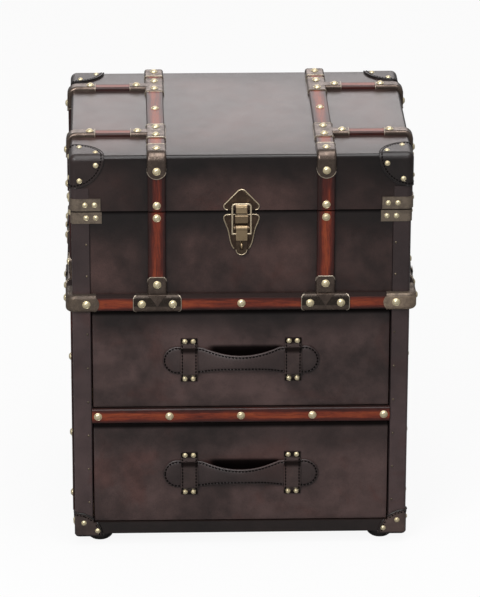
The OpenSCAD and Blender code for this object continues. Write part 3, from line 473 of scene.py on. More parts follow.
plywood("plywood", (0.53, 0.36, 0.21), (0.36, 0.215, 0.115))
plywood("stained_plywood", (0.030, 0.016, 0.012), (0.014, 0.007, 0.006))
print("boards ready")

# %% Woven lining
where = new_material("woven_lining")
threads = sum(waves(where, n, 160.0) for n in "XYZ") * (1 / 3)
fuzz = clouds(where, 900, 2)
shade = (threads * 0.7 + fuzz * 0.3).mix((0.014, 0.009, 0.0075), (0.062, 0.04, 0.031))
paint((0.5, 0.0005, threads + fuzz * 0.3), shade, 0.85 - fuzz * 0.1)

# %% Black lacquer on the feet
where = new_material("black_lacquer")
rings, dust = waves(where, "Z", 180.0), clouds(where, 300)
shade = (dust * 0.6).mix((0.009, 0.008, 0.008), (0.028, 0.024, 0.022))
paint((0.08, 0.0002, rings + dust), shade, 0.3 + dust * 0.2)
print("finishes so far:", len(shelf))

# %% [markdown]
# ## Antique brass
#
# The brackets and the latch are stamped brass that was darkened and then rubbed: dark in the
# hollows and pale where hands reach. Noise makes the blotches, and the roughness follows them,
# because tarnish is dull. An area of a solid can get another colour: the latch's raised parts are
# paler, partly rubbed brass and partly painted highlight, and the band's metal is painted dark
# along its top as painted shade.

# %% One recipe for every brass
def brass(name, dark, pale, rubbed, rough, metal=0.8, dents=0.25, areas=(),
          shown=(0.50, 0.37, 0.22)):
    """Tarnished brass. An area is a span of x, one of z and how much it has the colour shown."""
    where = new_material(name)
    x, z = axis(where, "X"), axis(where, "Z")
    blotch = clouds(where, 90, 5, 0.65, 0.4).above(0.62 - rubbed * 0.5, 0.82 - rubbed * 0.3)
    specks = clouds(where, 650).above(0.5, 0.75)
    shade = (blotch * 0.75 + specks * 0.25).mix(dark, pale)
    for across, upright, part in areas:
        area = between(x, *across, 0.0002) * between(z, *upright, 0.0008)
        shade = (area * (0.85 - specks * 0.4) * part).mix(shade, shown)
    paint((dents, 0.0004, clouds(where, 260) - specks * 0.4), shade,
          rough - blotch * 0.12 + specks * 0.1, Metallic=metal + blotch * (1 - metal) * 0.5)


# %% The brasses
plate_lo, plate_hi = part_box("latch_base_plate")
lever_lo, lever_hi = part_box("latch_lever")
catch_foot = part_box("latch_catch_plate")[0].z
# The left cap is darker: partly patina, partly painted shade.
LEFT_CAP = (-0.3, -0.18)
HOUSING, TONGUE, TAIL_SLOT = (-0.0086, 0.0086), (-0.0072, 0.0072), (-0.002, 0.002)
BRACKET = ((0.085, 0.063, 0.052), (0.163, 0.124, 0.100), 0.5, 0.36, 0.8, 0.15)
brass("bracket_brass", *BRACKET)
# Painted shade: the band's metal is painted dark along its top, where a lamp highlight would show.
brass("tee_brass", *BRACKET, [(WIDE, (band_z - 0.004, band_hi.z + 0.001), 1)],
      (0.034, 0.027, 0.022))
brass("cap_brass", (0.17, 0.128, 0.095), (0.40, 0.308, 0.225), 0.6, 0.56, 0.6, 0.3,
      [(WIDE, (band_hi.z - 0.0030, band_hi.z + 0.01), 0.75),
       (LEFT_CAP, (band_lo.z - 0.01, band_hi.z + 0.01), 0.8)], (0.055, 0.042, 0.035))
brass("seam_brass", (0.138, 0.109, 0.085), (0.32, 0.256, 0.197), 0.6, 0.42, 0.7, 0.15)
brass("rim_brass", (0.26, 0.22, 0.175), (0.50, 0.43, 0.34), 0.8, 0.42, 0.5)
# Paler areas on the latch's housing, tongue, staple and raised lever: partly rubbed brass, partly
# painted highlight.
brass("latch_brass", (0.062, 0.040, 0.028), (0.155, 0.104, 0.070), 0.4, 0.38,
      areas=[(HOUSING, (lever_hi.z, plate_hi.z + 0.001), 0.45),
             (TONGUE, (catch_foot, catch_foot + 0.013), 1),
             (TAIL_SLOT, (lever_lo.z, lever_lo.z + 0.021), 1)])
brass("latch_bright", (0.066, 0.045, 0.031), (0.15, 0.105, 0.070), 0.4, 0.38,
      areas=[(WIDE, (lever_lo.z + 0.0205, lever_hi.z + 0.01), 0.75)])
brass("latch_rim", (0.40, 0.31, 0.20), (0.70, 0.59, 0.42), 0.8, 0.42, 0.45)
brass("nail_brass", (0.54, 0.44, 0.26), (0.82, 0.73, 0.50), 0.75, 0.4, 0.5)
brass("nail_crown", (0.36, 0.29, 0.17), (0.70, 0.60, 0.40), 0.6, 0.34, 0.65)
brass("pin_brass", (0.07, 0.055, 0.04), (0.24, 0.19, 0.13), 0.5, 0.4, 0.7)
print("finishes on the shelf:", len(shelf))

# %% [markdown]
# ## Finishes for the solids
#
# Each solid has a slot in the chest's record, such as leather or bracket, and most take their
# slot's finish. A few need their own, because their grain runs another way, their panels lie
# elsewhere, their metal is rubbed more, or their metal carries painted highlight and painted shade.

# %% Give every solid its finish
BY_SLOT = {"leather": "espresso_leather", "leather_trim": "trim_leather", "board": "plywood",
           "lining": "woven_lining", "bracket": "bracket_brass", "nail": "nail_brass",
           "latch": "latch_brass", "foot": "black_lacquer", "mahogany": "mahogany_upright"}
BY_NODE = {"middle_band": "mahogany_band", "divider_band": "mahogany_divider",
           "side_slats": "mahogany_side", "lid_main_slats": "mahogany_lid_long",
           "lid_cross_slats": "mahogany_lid_cross", "trunk_leather": "trunk_leather",
           "lid_leather": "lid_leather", "corner_bindings": "binding_leather",
           "lid_bindings": "binding_leather", "bottom_corner_caps": "cap_leather",
           "front_frame": "stained_plywood", "band_tees": "tee_brass", "band_caps": "cap_brass",
           "lid_seam_plates": "seam_brass", "trunk_seam_plates": "seam_brass",
           "latch_bail": "latch_rim", "latch_lever": "latch_bright", "latch_rivet": "latch_bright"}
subparts = frame["record"]["subparts"]
for part in subparts:
    obj = nodes[part["node"]]
    finish = shelf[BY_NODE.get(part["node"], BY_SLOT[part["material_slot"]])]
    if not obj.material_slots:
        obj.data.materials.append(finish)
    for slot in obj.material_slots:
        slot.material = finish
print("finished", len(subparts), "solids")

# %% [markdown]
# ## Ways of modelling
#
# Every new piece starts as a plain block, circle or grid, and gets its shape from edit-mode
# tools: extrude, inset, bevel, scale, move. Faces and edges are picked by where they lie. A
# finished piece rides on the body that carries it, and may take a solid's place on show.

# %% Picking and editing
def object_mode():
    if bpy.context.object and bpy.context.object.mode != "OBJECT":
        bpy.ops.object.mode_set(mode="OBJECT")


def clear():
    bpy.ops.object.select_all(action="DESELECT")


def focus(obj, mode="EDIT"):
    """Makes obj the only selected object."""
    object_mode()
    clear()
    obj.select_set(True)
    bpy.context.view_layer.objects.active = obj
    bpy.ops.object.mode_set(mode=mode)


def pick(kind, test):
    """In edit mode, selects each EDGE or FACE that passes the test."""
    bpy.ops.mesh.select_mode(type=kind)
    bpy.ops.mesh.select_all(action="DESELECT")
    mesh = bpy.context.object.data
    net = bmesh.from_edit_mesh(mesh)
    for item in net.edges if kind == "EDGE" else net.faces:
        if test(item):
            item.select_set(True)
    net.select_flush_mode()
    bmesh.update_edit_mesh(mesh)


def pick_all():
    bpy.ops.mesh.select_all(action="SELECT")


def grow(offset):
    """Extrudes what is selected by an offset."""
    bpy.ops.mesh.extrude_region_move(TRANSFORM_OT_translate={"value": offset})


def face_out():
    """Turns every face of a closed mesh outwards."""
    pick_all()
    bpy.ops.mesh.normals_make_consistent()


def smooth(obj, angle=35):
    focus(obj, "OBJECT")
    bpy.ops.object.shade_smooth_by_angle(angle=math.radians(angle))


def apply(obj, kind, **settings):
    """Adds one modifier and applies it."""
    focus(obj, "OBJECT")
    modifier = obj.modifiers.new(kind.title(), kind)
    for key, value in settings.items():
        setattr(modifier, key, value)
    bpy.ops.object.modifier_apply(modifier=modifier.name)


# %% Starting pieces, copying them and dressing them
def named(name):
    """Names the piece that was just added."""
    made = bpy.context.object
    made.name = made.data.name = name
    return made


def block(name, lo, hi):
    """A closed block between two corners, with its place in its mesh."""
    clear()
    bpy.ops.mesh.primitive_cube_add(size=1, location=[(a + b) / 2 for a, b in zip(lo, hi)])
    made = named(name)
    made.scale = [b - a for a, b in zip(lo, hi)]
    bpy.ops.object.transform_apply()
    return made


def grid(name, columns, rows):
    """A flat grid of size 1 about the origin."""
    clear()
    bpy.ops.mesh.primitive_grid_add(x_subdivisions=columns, y_subdivisions=rows, size=1)
    return named(name)


def join(pieces):
    """Joins the other pieces to the first."""
    clear()
    for piece in pieces:
        piece.select_set(True)
    bpy.context.view_layer.objects.active = pieces[0]
    bpy.ops.object.join()
    return pieces[0]


def copies(model, places, name):
    """One object made of a copy of the model at each place. The model goes."""
    made = []
    for matrix in places:
        made.append(added(name, model.data.copy()))
        made[-1].data.transform(matrix)
    join(made)
    bpy.data.objects.remove(model)
    return named(name)


def dress(obj, body, finishes, instead_of=None):
    """Gives a piece its finishes and its body, and hides the solid it stands for."""
    object_mode()
    obj.data.materials.clear()
    for name in finishes:
        obj.data.materials.append(shelf[name])
    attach(obj, body)
    if instead_of:
        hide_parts(instead_of)
    print(obj.name, len(obj.data.polygons), "faces on", body)


# %% [markdown]
# ## Nails
#
# Brass upholstery nails are domes with a thin rolled rim. A disc is extruded and scaled, ring by
# ring, into that section. The rim is rubbed pale and the crown stays darker. A nail stands at
# each of the solids' nails. A solid nail is flat, so its thin side shows which way it faces.

# %% One nail, ring by ring
RINGS = [(1.0, 0.1), (0.97, 0.22), (0.9, 0.25), (0.84, 0.2), (0.79, 0.42), (0.68, 0.66),
         (0.52, 0.86), (0.32, 0.97), (0.12, 1.0)]
PIN_RINGS = [(1.0, 0.15), (0.86, 0.5), (0.62, 0.84), (0.3, 1.0)]
CROWN = 0.6
heart = Vector((0, middle_y, lid_top * 0.4))


def nail(sides, rings, crown=0.0):
    """A nail of radius 1 and height 1. Faces further in than crown get the second finish."""
    clear()
    bpy.ops.mesh.primitive_circle_add(vertices=sides, fill_type="NGON")
    made = bpy.context.object
    focus(made)
    pick_all()
    radius, height = 1.0, 0.0
    for wide, high in rings:
        grow((0, 0, high - height))
        bpy.ops.transform.resize(value=(wide / radius, wide / radius, 1))
        radius, height = wide, high
    face_out()
    smooth(made, 60)
    for face in made.data.polygons:
        face.material_index = int(face.center.xy.length < crown and face.center.z > 0.5)
    return made


def facing(lo, hi):
    """Of a flat solid: the middle of its back, its outward direction, half size and thickness."""
    size = hi - lo
    thin = min(range(3), key=lambda i: size[i])
    middle = (lo + hi) / 2
    out = Vector((0, 0, 0))
    out[thin] = 1 if middle[thin] > heart[thin] else -1
    return middle - out * size[thin] / 2, out, max(size) / 2, size[thin]


def aimed(spot, way, name="Z"):
    """Moves to a spot, with an axis along a direction."""
    return Matrix.Translation(spot) @ way.to_track_quat(name, "Y").to_matrix().to_4x4()


# %% A nail for each nail of the solids
def nails(node, body, sides, rings, crown=CROWN, finishes=("nail_brass", "nail_crown")):
    places = []
    for lo, hi in islands(node):
        foot, out, radius, height = facing(lo, hi)
        places.append(aimed(foot, out) @ Matrix.Diagonal((radius, radius, height, 1)))
    made = copies(nail(sides, rings, crown), places, node + "_turned")
    dress(made, body, finishes, node)


nails("base_dome_nails", "base", 24, RINGS)
nails("lid_dome_nails", "lid", 24, RINGS)
nails("base_small_nails", "base", 16, RINGS[1:])
nails("lid_small_nails", "lid", 16, RINGS[1:])
for drawer in DRAWERS:
    nails(drawer + "_handle_tacks", drawer + "_drawer", 16, RINGS[1:])
nails("binding_pins", "base", 8, PIN_RINGS, 0.0, ["pin_brass"])

# %% [markdown]
# ## Hinge screws
#
# The hinges are guessed, because the photograph doesn't show the back. Each leaf is held by three
# screws. A screw's head is a low dome with a slot cut across it by a block.

# %% Slotted screws
SCREW_RINGS = [(1.0, 0.15), (0.88, 0.32), (0.6, 0.43), (0.2, 0.47)]
SCREW_R, FIRST_TURN, NEXT_TURN = 0.0026, 0.3, 0.7
SCREW_SPOTS = ((0.16, 0.011), (0.5, 0.005), (0.84, 0.011))  # share of the width, way from the tip


def screw():
    made = nail(20, SCREW_RINGS)
    blade = block("blade", (-1.2, -0.13, 0.2), (1.2, 0.13, 0.8))
    apply(made, "BOOLEAN", object=blade, operation="DIFFERENCE", solver="EXACT")
    bpy.data.objects.remove(blade)
    made.data.transform(Matrix.Rotation(FIRST_TURN, 4, "Z") @ Matrix.Scale(SCREW_R, 4))
    return made


for node, body, up in (("trunk_hinge_leaves", "base", -1), ("lid_hinge_leaves", "lid", 1)):
    places = []
    for lo, hi in islands(node):
        tip = hi.z if up > 0 else lo.z
        flat = max(v.co.y for v in nodes[node].data.vertices if abs(v.co.z - tip) < 1e-5)
        for share, way in SCREW_SPOTS:
            spot = (lo.x + (hi.x - lo.x) * share, flat, tip - up * way)
            twist = Matrix.Rotation(NEXT_TURN * len(places), 4, "Z")
            places.append(aimed(spot, BACKWARDS) @ twist)
    dress(copies(screw(), places, node + "_screws"), body, ["cap_brass"])

# %% [markdown]
# ## Lid leather
#
# The lid's leather is pulled over the edges of a board, so its edges and corners are round. A
# block has its upright and top edges bevelled, loses its bottom face, and gets a wall inwards.

# %% Bevelled shell of the lid
LID_R = 0.0048
SKIN_T = 0.0012
shell = block("lid_skin", lid_lo, lid_hi)
focus(shell)
pick("EDGE", lambda e: max(v.co.z for v in e.verts) > lid_top - 1e-4)
bpy.ops.mesh.bevel(offset=LID_R, segments=8)
pick("FACE", lambda f: f.normal.z < -0.9)
bpy.ops.mesh.delete(type="FACE")
apply(shell, "SOLIDIFY", thickness=SKIN_T, use_even_offset=True)
smooth(shell)
dress(shell, "lid", ["lid_leather"], "lid_leather")

# %% [markdown]
# ## Drawer fronts
#
# The leather is drawn over a softened board. The face drops towards its rounded edges, so light
# slides off them and the gap round the drawer looks deep. A bevel alone would leave the face
# flat, so it is inset four times and each inset rises a little. The hollow behind is cut to the
# board's size.

# %% Two softened drawer fronts
DROP = 0.0011
RISES = ((0.0015, 0.0005), (0.004, 0.0003), (0.007, 0.0002), (0.012, 0.0001))  # way in, way out
for drawer in DRAWERS:
    node = drawer + "_drawer_leather"
    lo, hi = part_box(node)
    made = block(drawer + "_drawer_skin", lo, hi)
    focus(made)
    pick("FACE", lambda f: f.normal.y < -0.9)
    bpy.ops.transform.translate(value=(0, DROP, 0))
    for inward, rise in RISES:
        bpy.ops.mesh.inset(thickness=inward)
        bpy.ops.transform.translate(value=(0, -rise, 0))
    pick("EDGE", lambda e: all(abs(v.co.y - lo.y - DROP) < 1e-5 for v in e.verts))
    bpy.ops.mesh.bevel(offset=0.001, segments=4)
    pick("FACE", lambda f: f.normal.y > 0.9)
    bpy.ops.mesh.inset(thickness=SKIN_T)
    grow((0, lo.y + SKIN_T + DROP - hi.y, 0))
    smooth(made, 50)
    dress(made, drawer + "_drawer", ["drawer_leather"], node)

# %% [markdown]
# ## Leather handles
#
# Each handle is a stitched strap whose round ends lie flat behind two leather loops. Between them
# it narrows to a waist and bows out for the fingers. A flat grid is wrapped into a tube: its
# columns follow the strap and its rows run round its section, over the crowned front, the
# stitched groove and the edge, and back along the flat underside.

# %% The strap's outline, bow and section
drawer_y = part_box("upper_drawer_leather")[0].y
strap_lo, strap_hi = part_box("upper_handle_strap")
END_R = (strap_hi.z - strap_lo.z) / 2 + 0.0014
END_X = (strap_hi.x - strap_lo.x) / 2 - END_R
NECK = math.radians(110)  # where the round end meets the waisted part
NECK_X, NECK_Z = END_X + END_R * math.cos(NECK), END_R * math.sin(NECK)
NECK_AT, NECK_RISE = 0.6, 0.0008
WAIST, WAIST_X = 0.0108, 0.0535
BOW, BOW_X = 0.0128, 0.0555
LIE = 0.0004              # the gap behind the flat ends
# way in from the strap's edge in metres, and height above its underside in millimetres
FRONT = [(1, 4.0), (0.008, 3.9), (0.005, 3.6), (0.0034, 3.1), (0.0026, 2.7), (0.0019, 3.1),
         (0.0009, 2.9), (0.0003, 2.3), (0, 1.5)]
BACK = [(0, 0.6), (0.0005, 0.0), (0.008, 0.0), (1, 0.0)]


def bowed(x):
    """How far the strap stands out from its flat ends."""
    return BOW * max(0.0, 1 - (x / BOW_X) ** 2) ** 1.4


def on_strap(column, inset):
    """A point of the outline, drawn in by inset. Columns run from -1 to 1."""
    side = -1 if column < 0 else 1
    part = abs(column)
    if part <= NECK_AT:
        x = NECK_X * part / NECK_AT
        flare = (NECK_Z - NECK_RISE - WAIST) * min(1, x / WAIST_X) ** 2.3
        half = WAIST + flare + NECK_RISE * part / NECK_AT
        return side * x, half - min(inset, half)
    angle = NECK * (1 - part) / (1 - NECK_AT)
    radius = END_R - min(inset, END_R)
    return side * (END_X + radius * math.cos(angle)), radius * math.sin(angle)


# %% Wrap a grid into the strap
COLUMNS = 60
SECTION = [(1, *p) for p in FRONT + BACK] + [(-1, *p) for p in reversed(FRONT + BACK)]
rows = len(SECTION)
for drawer, level in zip(DRAWERS, grips):
    node = drawer + "_handle_strap"
    made = grid(node + "_stitched", COLUMNS, rows)
    for vert in made.data.vertices:
        column = round((vert.co.x + 0.5) * COLUMNS)
        up, inset, height = SECTION[round((vert.co.y + 0.5) * rows) % rows]
        x, z = on_strap(2 * column / COLUMNS - 1, inset)
        vert.co = (x, drawer_y - LIE - bowed(x) - height / 1000, level + up * z)
    for face in made.data.polygons:
        spots = (made.data.vertices[i].co for i in face.vertices)
        out = [drawer_y - LIE - bowed(p.x) - p.y for p in spots]
        # The rounded edge takes the pale leather: a painted highlight.
        face.material_index = int(0.0012 < max(out) < 0.003 and min(out) > 0.0001)
    focus(made)
    pick_all()
    bpy.ops.mesh.remove_doubles(threshold=2e-5)
    bpy.ops.mesh.dissolve_degenerate()
    face_out()
    smooth(made, 50)
    dress(made, drawer + "_handle", ["handle_leather", "edge_leather"], node)

# %% [markdown]
# ## Loops
#
# A loop is a strip that climbs over the strap and comes back to the drawer. Its rows are moved
# out along a smooth step, and then it gets its thickness and rounded edges.

# %% Four loops
LOOP_BACK = (0.0, 0.0048, 0.0202, 0.0232)
LOOP_FRONT = (0.002, 0.0068, 0.0192, 0.0245)


def loop_out(z, foot, bridge, start, end):
    """How far a loop's surface stands out from the drawer at height z from its middle."""
    part = min(1.0, max(0.0, (end - abs(z)) / (end - start)))
    return foot + (bridge - foot) * part * part * (3 - 2 * part)


def loop(name, lo, hi):
    middle, size = (lo + hi) / 2, hi - lo
    made = grid(name, 6, 42)
    for vert in made.data.vertices:
        x, z = vert.co.x * size.x, vert.co.y * size.z
        vert.co = (middle.x + x, drawer_y - loop_out(z, *LOOP_BACK), middle.z + z)
    focus(made)
    pick_all()
    grow((0, -0.002, 0))
    front = [v.index for v in bmesh.from_edit_mesh(made.data).verts if v.select]
    object_mode()
    for i in front:
        co = made.data.vertices[i].co
        co.y = drawer_y - loop_out(co.z - middle.z, *LOOP_FRONT)
    focus(made)
    face_out()
    pick("EDGE", lambda e: e.calc_face_angle(0) > 1.2
         and min(v.co.y for v in e.verts) < drawer_y - 0.0019)
    bpy.ops.mesh.bevel(offset=0.0006, segments=3)
    object_mode()
    return made


for drawer in DRAWERS:
    node = drawer + "_handle_loops"
    made = join([loop(node + "_rounded", lo, hi) for lo, hi in islands(node)])
    smooth(made, 50)
    dress(made, drawer + "_drawer", ["loop_leather"], node)

# %% [markdown]
# ## Stitches
#
# Straps, loops and corners are sewn with dark thread. A picture or a bump of stitches would swim
# over curved leather, so a stitch is one short thread with drawn-in ends. It is copied at equal
# steps along a line of points, and each copy lies flat on the surface.

# %% Stitches along lines of points
THREAD_RINGS = [(1.8, 0.22), (1.8, 0.78), (1.0, 1.0)]
STITCH_IN, STITCH_RISE = 0.0026, 0.0029
LOOP_STITCH_IN = 0.0022


def along(points, step):
    """Places and directions at equal steps along a line of points."""
    found, left = [], step / 2
    for a, b in zip(points, points[1:]):
        length = (b - a).length
        while left <= length:
            found.append((a.lerp(b, left / length), (b - a).normalized()))
            left += step
        left -= length
    return found


def stitches(name, lines, body, step=0.0047, long=0.0033, thick=0.0007, lift=-0.0002,
             outward=lambda spot: -BACKWARDS):
    """Threads along lines of points, lifted off the surface."""
    places = []
    for spot, way in sum((along(points, step) for points in lines), []):
        normal = outward(spot)
        side = way.cross(normal).normalized()
        turn = Matrix((side, way.cross(side), way)).transposed().to_4x4()
        start = spot - way * long / 2 + normal * lift
        places.append(Matrix.Translation(start) @ turn @ Matrix.Diagonal((thick, thick, long, 1)))
    dress(copies(nail(6, THREAD_RINGS), places, name), body, ["dark_thread"])


upper = [on_strap(k / COLUMNS, STITCH_IN) for k in range(-COLUMNS, COLUMNS + 1)]
outline = upper + [(x, -z) for x, z in reversed(upper)]
heights = [k / 1000 for k in range(-30, 31)]
for drawer, grip in zip(DRAWERS, grips):
    ring = [Vector((x, drawer_y - LIE - bowed(x) - STITCH_RISE, grip + z)) for x, z in outline]
    stitches(drawer + "_strap_stitches", [ring], drawer + "_handle")
    lines = [[Vector((x, drawer_y - loop_out(z, *LOOP_FRONT), grip + z)) for z in heights]
             for lo, hi in islands(drawer + "_handle_loops")
             for x in (lo.x + LOOP_STITCH_IN, hi.x - LOOP_STITCH_IN)]
    stitches(drawer + "_loop_stitches", lines, drawer + "_drawer", thick=0.0006)

# %% [markdown]
# ## Lines along sharp edges
#
# The brackets and the latch's plates have rubbed, rolled rims, and the leather corners have a
# welt and a row of stitches. All of these follow sharp edges of the solids. So a copy of a solid
# is stripped down to the sharp edges in the right place, and those become a round wire, or a line
# for stitches.

# %% Wires and lines from a solid's edges
SHARP = math.radians(28)


def edge_wire(node, keep, name):
    """A curve of the solid's sharp edges whose ends pass the test."""
    made = added(name, nodes[node].data.copy())
    made.data.name = name
    made.data.materials.clear()
    focus(made)
    pick_all()
    bpy.ops.mesh.remove_doubles(threshold=1e-6)
    net = bmesh.from_edit_mesh(made.data)
    net.edges.index_update()
    good = {e.index for e in net.edges if len(e.link_faces) == 2
            and e.calc_face_angle(0) > SHARP and all(keep(v.co) for v in e.verts)}
    pick_all()
    bpy.ops.mesh.delete(type="ONLY_FACE")
    pick("EDGE", lambda e: e.index not in good)
    bpy.ops.mesh.delete(type="EDGE")
    pick_all()
    bpy.ops.mesh.delete_loose(use_edges=False)
    object_mode()
    bpy.ops.object.convert(target="CURVE")
    return made


def rim(node, keep, name, radius, body, finish, scale=None, shift=(0, 0, 0)):
    """A round wire along those edges, moved by shift and scaled about its middle."""
    made = edge_wire(node, keep, name)
    made.data.bevel_depth = radius
    made.data.bevel_resolution = 1
    made.data.use_fill_caps = True
    bpy.ops.object.convert(target="MESH")
    focus(made)
    face_out()
    bpy.ops.transform.translate(value=shift)
    if scale:
        spots = [v.co for v in bmesh.from_edit_mesh(made.data).verts]
        middle = [(min(p[i] for p in spots) + max(p[i] for p in spots)) / 2 for i in range(3)]
        bpy.ops.transform.resize(value=scale, center_override=middle)
    smooth(made, 60)
    dress(made, body, [finish])


def edge_lines(node, keep):
    """The same edges as lists of points."""
    made = edge_wire(node, keep, node + "_line")
    found = []
    for spline in made.data.splines:
        points = [Vector(p.co[:3]) for p in spline.points]
        found.append(points + points[:1] if spline.use_cyclic_u else points)
    bpy.data.objects.remove(made)
    return found


# %% [markdown]
# ## Points and ends of the band's metal
#
# A T-bracket's stem runs down over its crosspiece in a point, and the caps at the band's corners
# end in a rounded, rubbed tongue. Both are thin leaves of metal on the solids. A grid is laid out
# by a formula of two shares, and extruded to the sheet's thickness.

# %% Leaves of metal
POINT_LONG, POINT_T, POINT_FROM = 0.0165, 0.0007, 0.0011
FRONT_POINT, SIDE_POINT = 0.0128, 0.0100
TONGUE_LONG, TONGUE_HALF, TONGUE_T, TONGUE_RIM = 0.0044, 0.0098, 0.0012, 0.74


def leaf(name, point, out, thick, finish, rimmed=1.0):
    """A thin plate whose face is point(s, u), with s and u from 0 to 1. Its part with s above
    rimmed is rubbed pale."""
    made = grid(name, 6, 12)
    for face in made.data.polygons:
        face.material_index = int(face.center.x + 0.5 > rimmed)
    for vert in made.data.vertices:
        vert.co = point(vert.co.x + 0.5, vert.co.y + 0.5)
    focus(made)
    pick_all()
    grow(out * thick)
    face_out()
    smooth(made, 40)
    dress(made, "base", [finish, "latch_rim"])


for number, (lo, hi) in enumerate(islands("band_tees"), 1):
    foot, out, _, thick = facing(lo, hi)
    top = foot + out * thick
    top.z = band_hi.z + POINT_FROM
    across = UP.cross(out) * (FRONT_POINT if abs(out.y) > 0.5 else SIDE_POINT)
    leaf("tee_point_%d" % number,
         lambda s, u: top + across * (2 * s - 1) * max(0.06, 0.75 * u + 0.25 * u ** 5)
         - UP * POINT_LONG * (1 - u), out, POINT_T, "bracket_brass")

ends = []
for lo, hi in islands("band_caps"):
    sign = 1 if lo.x > 0 else -1
    aside = Vector((sign, 0, 0))
    if lo.y < front_y:
        near_x = min(abs(lo.x), abs(hi.x)) * sign
        ends += [((near_x, band_lo.y, band_z), -aside, -BACKWARDS),
                 ((band_hi.x * sign, hi.y, band_z), BACKWARDS, aside)]
    else:
        ends.append(((band_hi.x * sign, lo.y, band_z), -BACKWARDS, aside))
for number, (edge, across, out) in enumerate(ends, 1):
    start = Vector(edge) + out * 2e-5
    leaf("band_cap_end_%d" % number,
         lambda s, u: start + across * s * TONGUE_LONG * max(0.03, 1 - (2 * u - 1) ** 2)
         + UP * (2 * u - 1) * TONGUE_HALF, out, TONGUE_T, "cap_brass", TONGUE_RIM)

# %% [markdown]
# ## Rims of the brackets
#
# The stamped brackets are dark and their bent edges are rubbed pale, which draws their outline in
# the photograph. Only edges that show get a wire: the feet of the lid's brackets, their ends on
# its top, and the outline of the band's T-brackets.

# %% Wires round the brackets
INNER, OUTER, BOTH = slice(0, 1), slice(1, 2), slice(0, 2)
SHORT = 0.0115  # solids that are shorter along the axis are left out


def at_ends(node, ends, reach=4e-4):
    """A test for points at the inner or outer ends of a node's solids, along some axes."""
    spots = [(i, end, lo, hi) for i, which in ends.items() for lo, hi in islands(node)
             if hi[i] - lo[i] > SHORT for end in sorted((lo[i], hi[i]), key=abs)[which]]
    return lambda p: any(abs(p[i] - end) < reach
                         and all(lo[k] - 1e-3 < p[k] < hi[k] + 1e-3 for k in range(3))
                         for i, end, lo, hi in spots)


def on_cross(p):
    """True on the outer ends of the crosspieces, up to the band's top."""
    proud = max(abs(p.x) - half_w, front_y - p.y) > 0.006
    return proud and p.z < band_hi.z + 0.002 and cross(p)


edge_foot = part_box("lid_edge_brackets")[0].z
side_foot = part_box("lid_side_brackets")[0].z
stem_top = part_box("band_tees")[1].z
cross = at_ends("band_tees", {0: BOTH, 1: BOTH}, 0.0062)
for node, part, radius, body, keep in (
        ("lid_edge_brackets", "rims", 0.0005, "lid", lambda p: p.z < edge_foot + 0.0135),
        ("lid_edge_brackets", "ends", 0.0005, "lid", at_ends("lid_edge_brackets", {1: INNER})),
        ("lid_side_brackets", "rims", 0.0005, "lid", lambda p: p.z < side_foot + 0.0105),
        ("lid_side_brackets", "ends", 0.0005, "lid", at_ends("lid_side_brackets", {0: INNER})),
        ("lid_tees", "ends", 0.0005, "lid", at_ends("lid_tees", {0: OUTER, 1: BOTH})),
        ("band_tees", "rims", 0.0006, "base", on_cross),
        ("band_tees", "tips", 0.0005, "base", lambda p: p.z > stem_top - 0.0092)):
    rim(node, keep, node[:-1] + "_" + part, radius, body, "rim_brass")

# %% [markdown]
# ## Rims of the latch
#
# The latch's plates and its lever have a rolled edge, the brightest line of the front. The wire
# follows their edges and is scaled a little, so it lies just inside them. Edges behind the
# housing and in the tail's slot are left out.

# %% Wires round the latch
PLATE_T = 0.0015
plate_y, catch_y = front_y - PLATE_T, lid_lo.y - PLATE_T


def on_plate(p):
    free = abs(p.x) > 0.0088 or p.z > plate_hi.z - 5e-4 or p.z < plate_lo.z + 5e-4
    return abs(p.y - plate_y) < 5e-5 and free


def on_catch(p):
    return abs(p.y - catch_y) < 5e-5 and (abs(p.x) > 0.0092 or p.z > catch_foot + 0.012)


def on_tail(p):
    return p.z < lever_lo.z + 0.0079 and abs(p.x) > 0.0024 or p.z < lever_lo.z + 0.002


for node, keep, name, radius, body, scale in (
        ("latch_base_plate", on_plate, "latch_base_rim", 0.0009, "base", (0.97, 1, 0.975)),
        ("latch_catch_plate", on_catch, "latch_catch_rim", 0.0009, "lid", (0.97, 1, 0.96)),
        ("latch_lever", on_tail, "latch_tail_rim", 0.0007, "latch_lever", (0.96, 1, 0.97))):
    rim(node, keep, name, radius, body, "latch_rim", scale)

# %% [markdown]
# ## Leather corners
#
# Round leather patches cover the corners of the lid and of the bottom. Each has a thick welt
# along its round edge and a row of stitches inside it. Both come from the same edges, which lie
# at one distance from the chest's corner. The bottom caps also have a rolled lower edge.

# %% Welts and stitches of the corners
STITCH_ROW = 0.0034
corner_spots = [Vector((s * lid_hi.x, y, lid_top)) for s in (-1, 1) for y in (lid_lo.y, lid_hi.y)]
foot_spots = [Vector((s * half_w, y, skin_lo.z - 0.004)) for s in (-1, 1)
              for y in (front_y, back_y)]


def near(spots, p):
    """The closest of some corners."""
    return min(spots, key=lambda c: (c - p).length)


def outward(spot):
    """The nearest face's direction on the lid or the body."""
    ways = {(0, 0, 1): spot.z - lid_top, (1, 0, 0): spot.x - lid_hi.x,
            (-1, 0, 0): lid_lo.x - spot.x, (0, -1, 0): lid_lo.y - spot.y,
            (0, 1, 0): spot.y - lid_hi.y}
    return Vector(max(ways, key=ways.get))


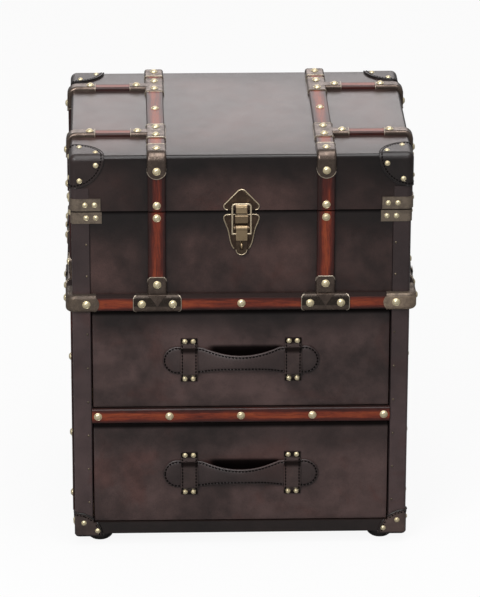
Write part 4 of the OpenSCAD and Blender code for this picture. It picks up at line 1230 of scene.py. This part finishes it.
for node, spots, radius, thick, body, name in (
        ("lid_corner_patches", corner_spots, 0.045, 0.0006, "lid", "patch"),
        ("bottom_corner_caps", foot_spots, 0.036, 0.0013, "base", "foot_cap")):
    def on_edge(p):
        return abs((p - near(spots, p)).length - radius) < 3e-4

    rim(node, on_edge, name + "_welts", thick, body, "welt_leather")
    lines = []
    for points in edge_lines(node, on_edge):
        corner = near(spots, points[len(points) // 2])
        lines.append([corner + (p - corner) * (1 - STITCH_ROW / radius) for p in points])
    stitches(name + "_stitches", lines, body, 0.0044, 0.0030, 0.0006, -0.0003, outward)

# %% The corner caps' rolled lower edge
cap_lo, cap_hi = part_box("bottom_corner_caps")
cap_half_y = cap_hi.y - middle_y
ROLL, CAP_R = 0.0026, 0.0052


def on_outline(p):
    """True on the caps' outermost bottom line, round the corner too."""
    x, y = abs(p.x) - (cap_hi.x - CAP_R), abs(p.y - middle_y) - (cap_half_y - CAP_R)
    out = math.hypot(x, y) if x > 0 and y > 0 else max(x, y)
    return p.z < cap_lo.z + 1e-4 and abs(out - CAP_R) < 4e-4


rim("bottom_corner_caps", on_outline, "foot_cap_rolls", ROLL, "base",
    "trim_leather", (1 - ROLL / cap_hi.x, 1 - ROLL / cap_half_y, 1), (0, 0, -0.0008))

# %% [markdown]
# ## Floor, room and lamps
#
# The photograph is a studio picture on white. The floor and the room look white to the camera,
# and the lamps stay at a plain level: a big soft one in front, one over the chest, and one behind
# it, whose reflection gives the lid its pale sheen.

# %% Pale floor that keeps a soft shadow
clear()
bpy.ops.mesh.primitive_plane_add(size=30)
floor = named("floor")
floor_paint = bpy.data.materials.new("floor_paint")
floor_paint.use_nodes = True
tree = floor_paint.node_tree
tree.nodes.remove(tree.nodes["Principled BSDF"])
flow = Flow(tree)
seen = flow.of("LightPath")
matte = flow.of("BsdfDiffuse", Color=(0.26, 0.26, 0.26))
glow = flow.of("Emission", Color=(1.0, 1.0, 1.0), Strength=1.17)
feed(tree.nodes["Material Output"].inputs["Surface"],
     flow.of("MixShader", _0=seen * 0.78, _1=matte, _2=glow))
floor.data.materials.append(floor_paint)

# %% White room
ROOM = 0.38  # its light on the chest. The camera sees it white.
room = bpy.data.worlds.new("studio")
bpy.context.scene.world = room
room.use_nodes = True
plain = room.node_tree.nodes["Background"]
feed(plain.inputs["Color"], (1, 1, 1))
seen = Flow(room.node_tree).of("LightPath")
feed(plain.inputs["Strength"], seen * (1 - ROOM) + ROOM)
print("room at", ROOM)

# %% Soft lamps
def softbox(name, spot, aim, width, height, power, tint=(1, 1, 1)):
    lamp = bpy.data.lights.new(name, "AREA")
    lamp.shape = "RECTANGLE"
    lamp.size, lamp.size_y = width, height
    lamp.energy = power
    lamp.color = tint
    added(name, lamp).matrix_world = aimed(spot, Vector(aim) - Vector(spot), "-Z")
    print(name, power, "W")


softbox("front_lamp", (-1.2, -2.4, 2.0), (0, 0, 0.3), 1.6, 1.2, 66)
softbox("top_lamp", (0.3, -0.6, 2.6), (0, 0, 0.4), 2.0, 1.6, 42)
softbox("back_lamp", (0.0, 2.6, 1.55), (0, 0, 0.5), 2.4, 0.9, 14.5, (1.0, 0.935, 0.93))
bpy.context.scene.view_settings.view_transform = "Standard"
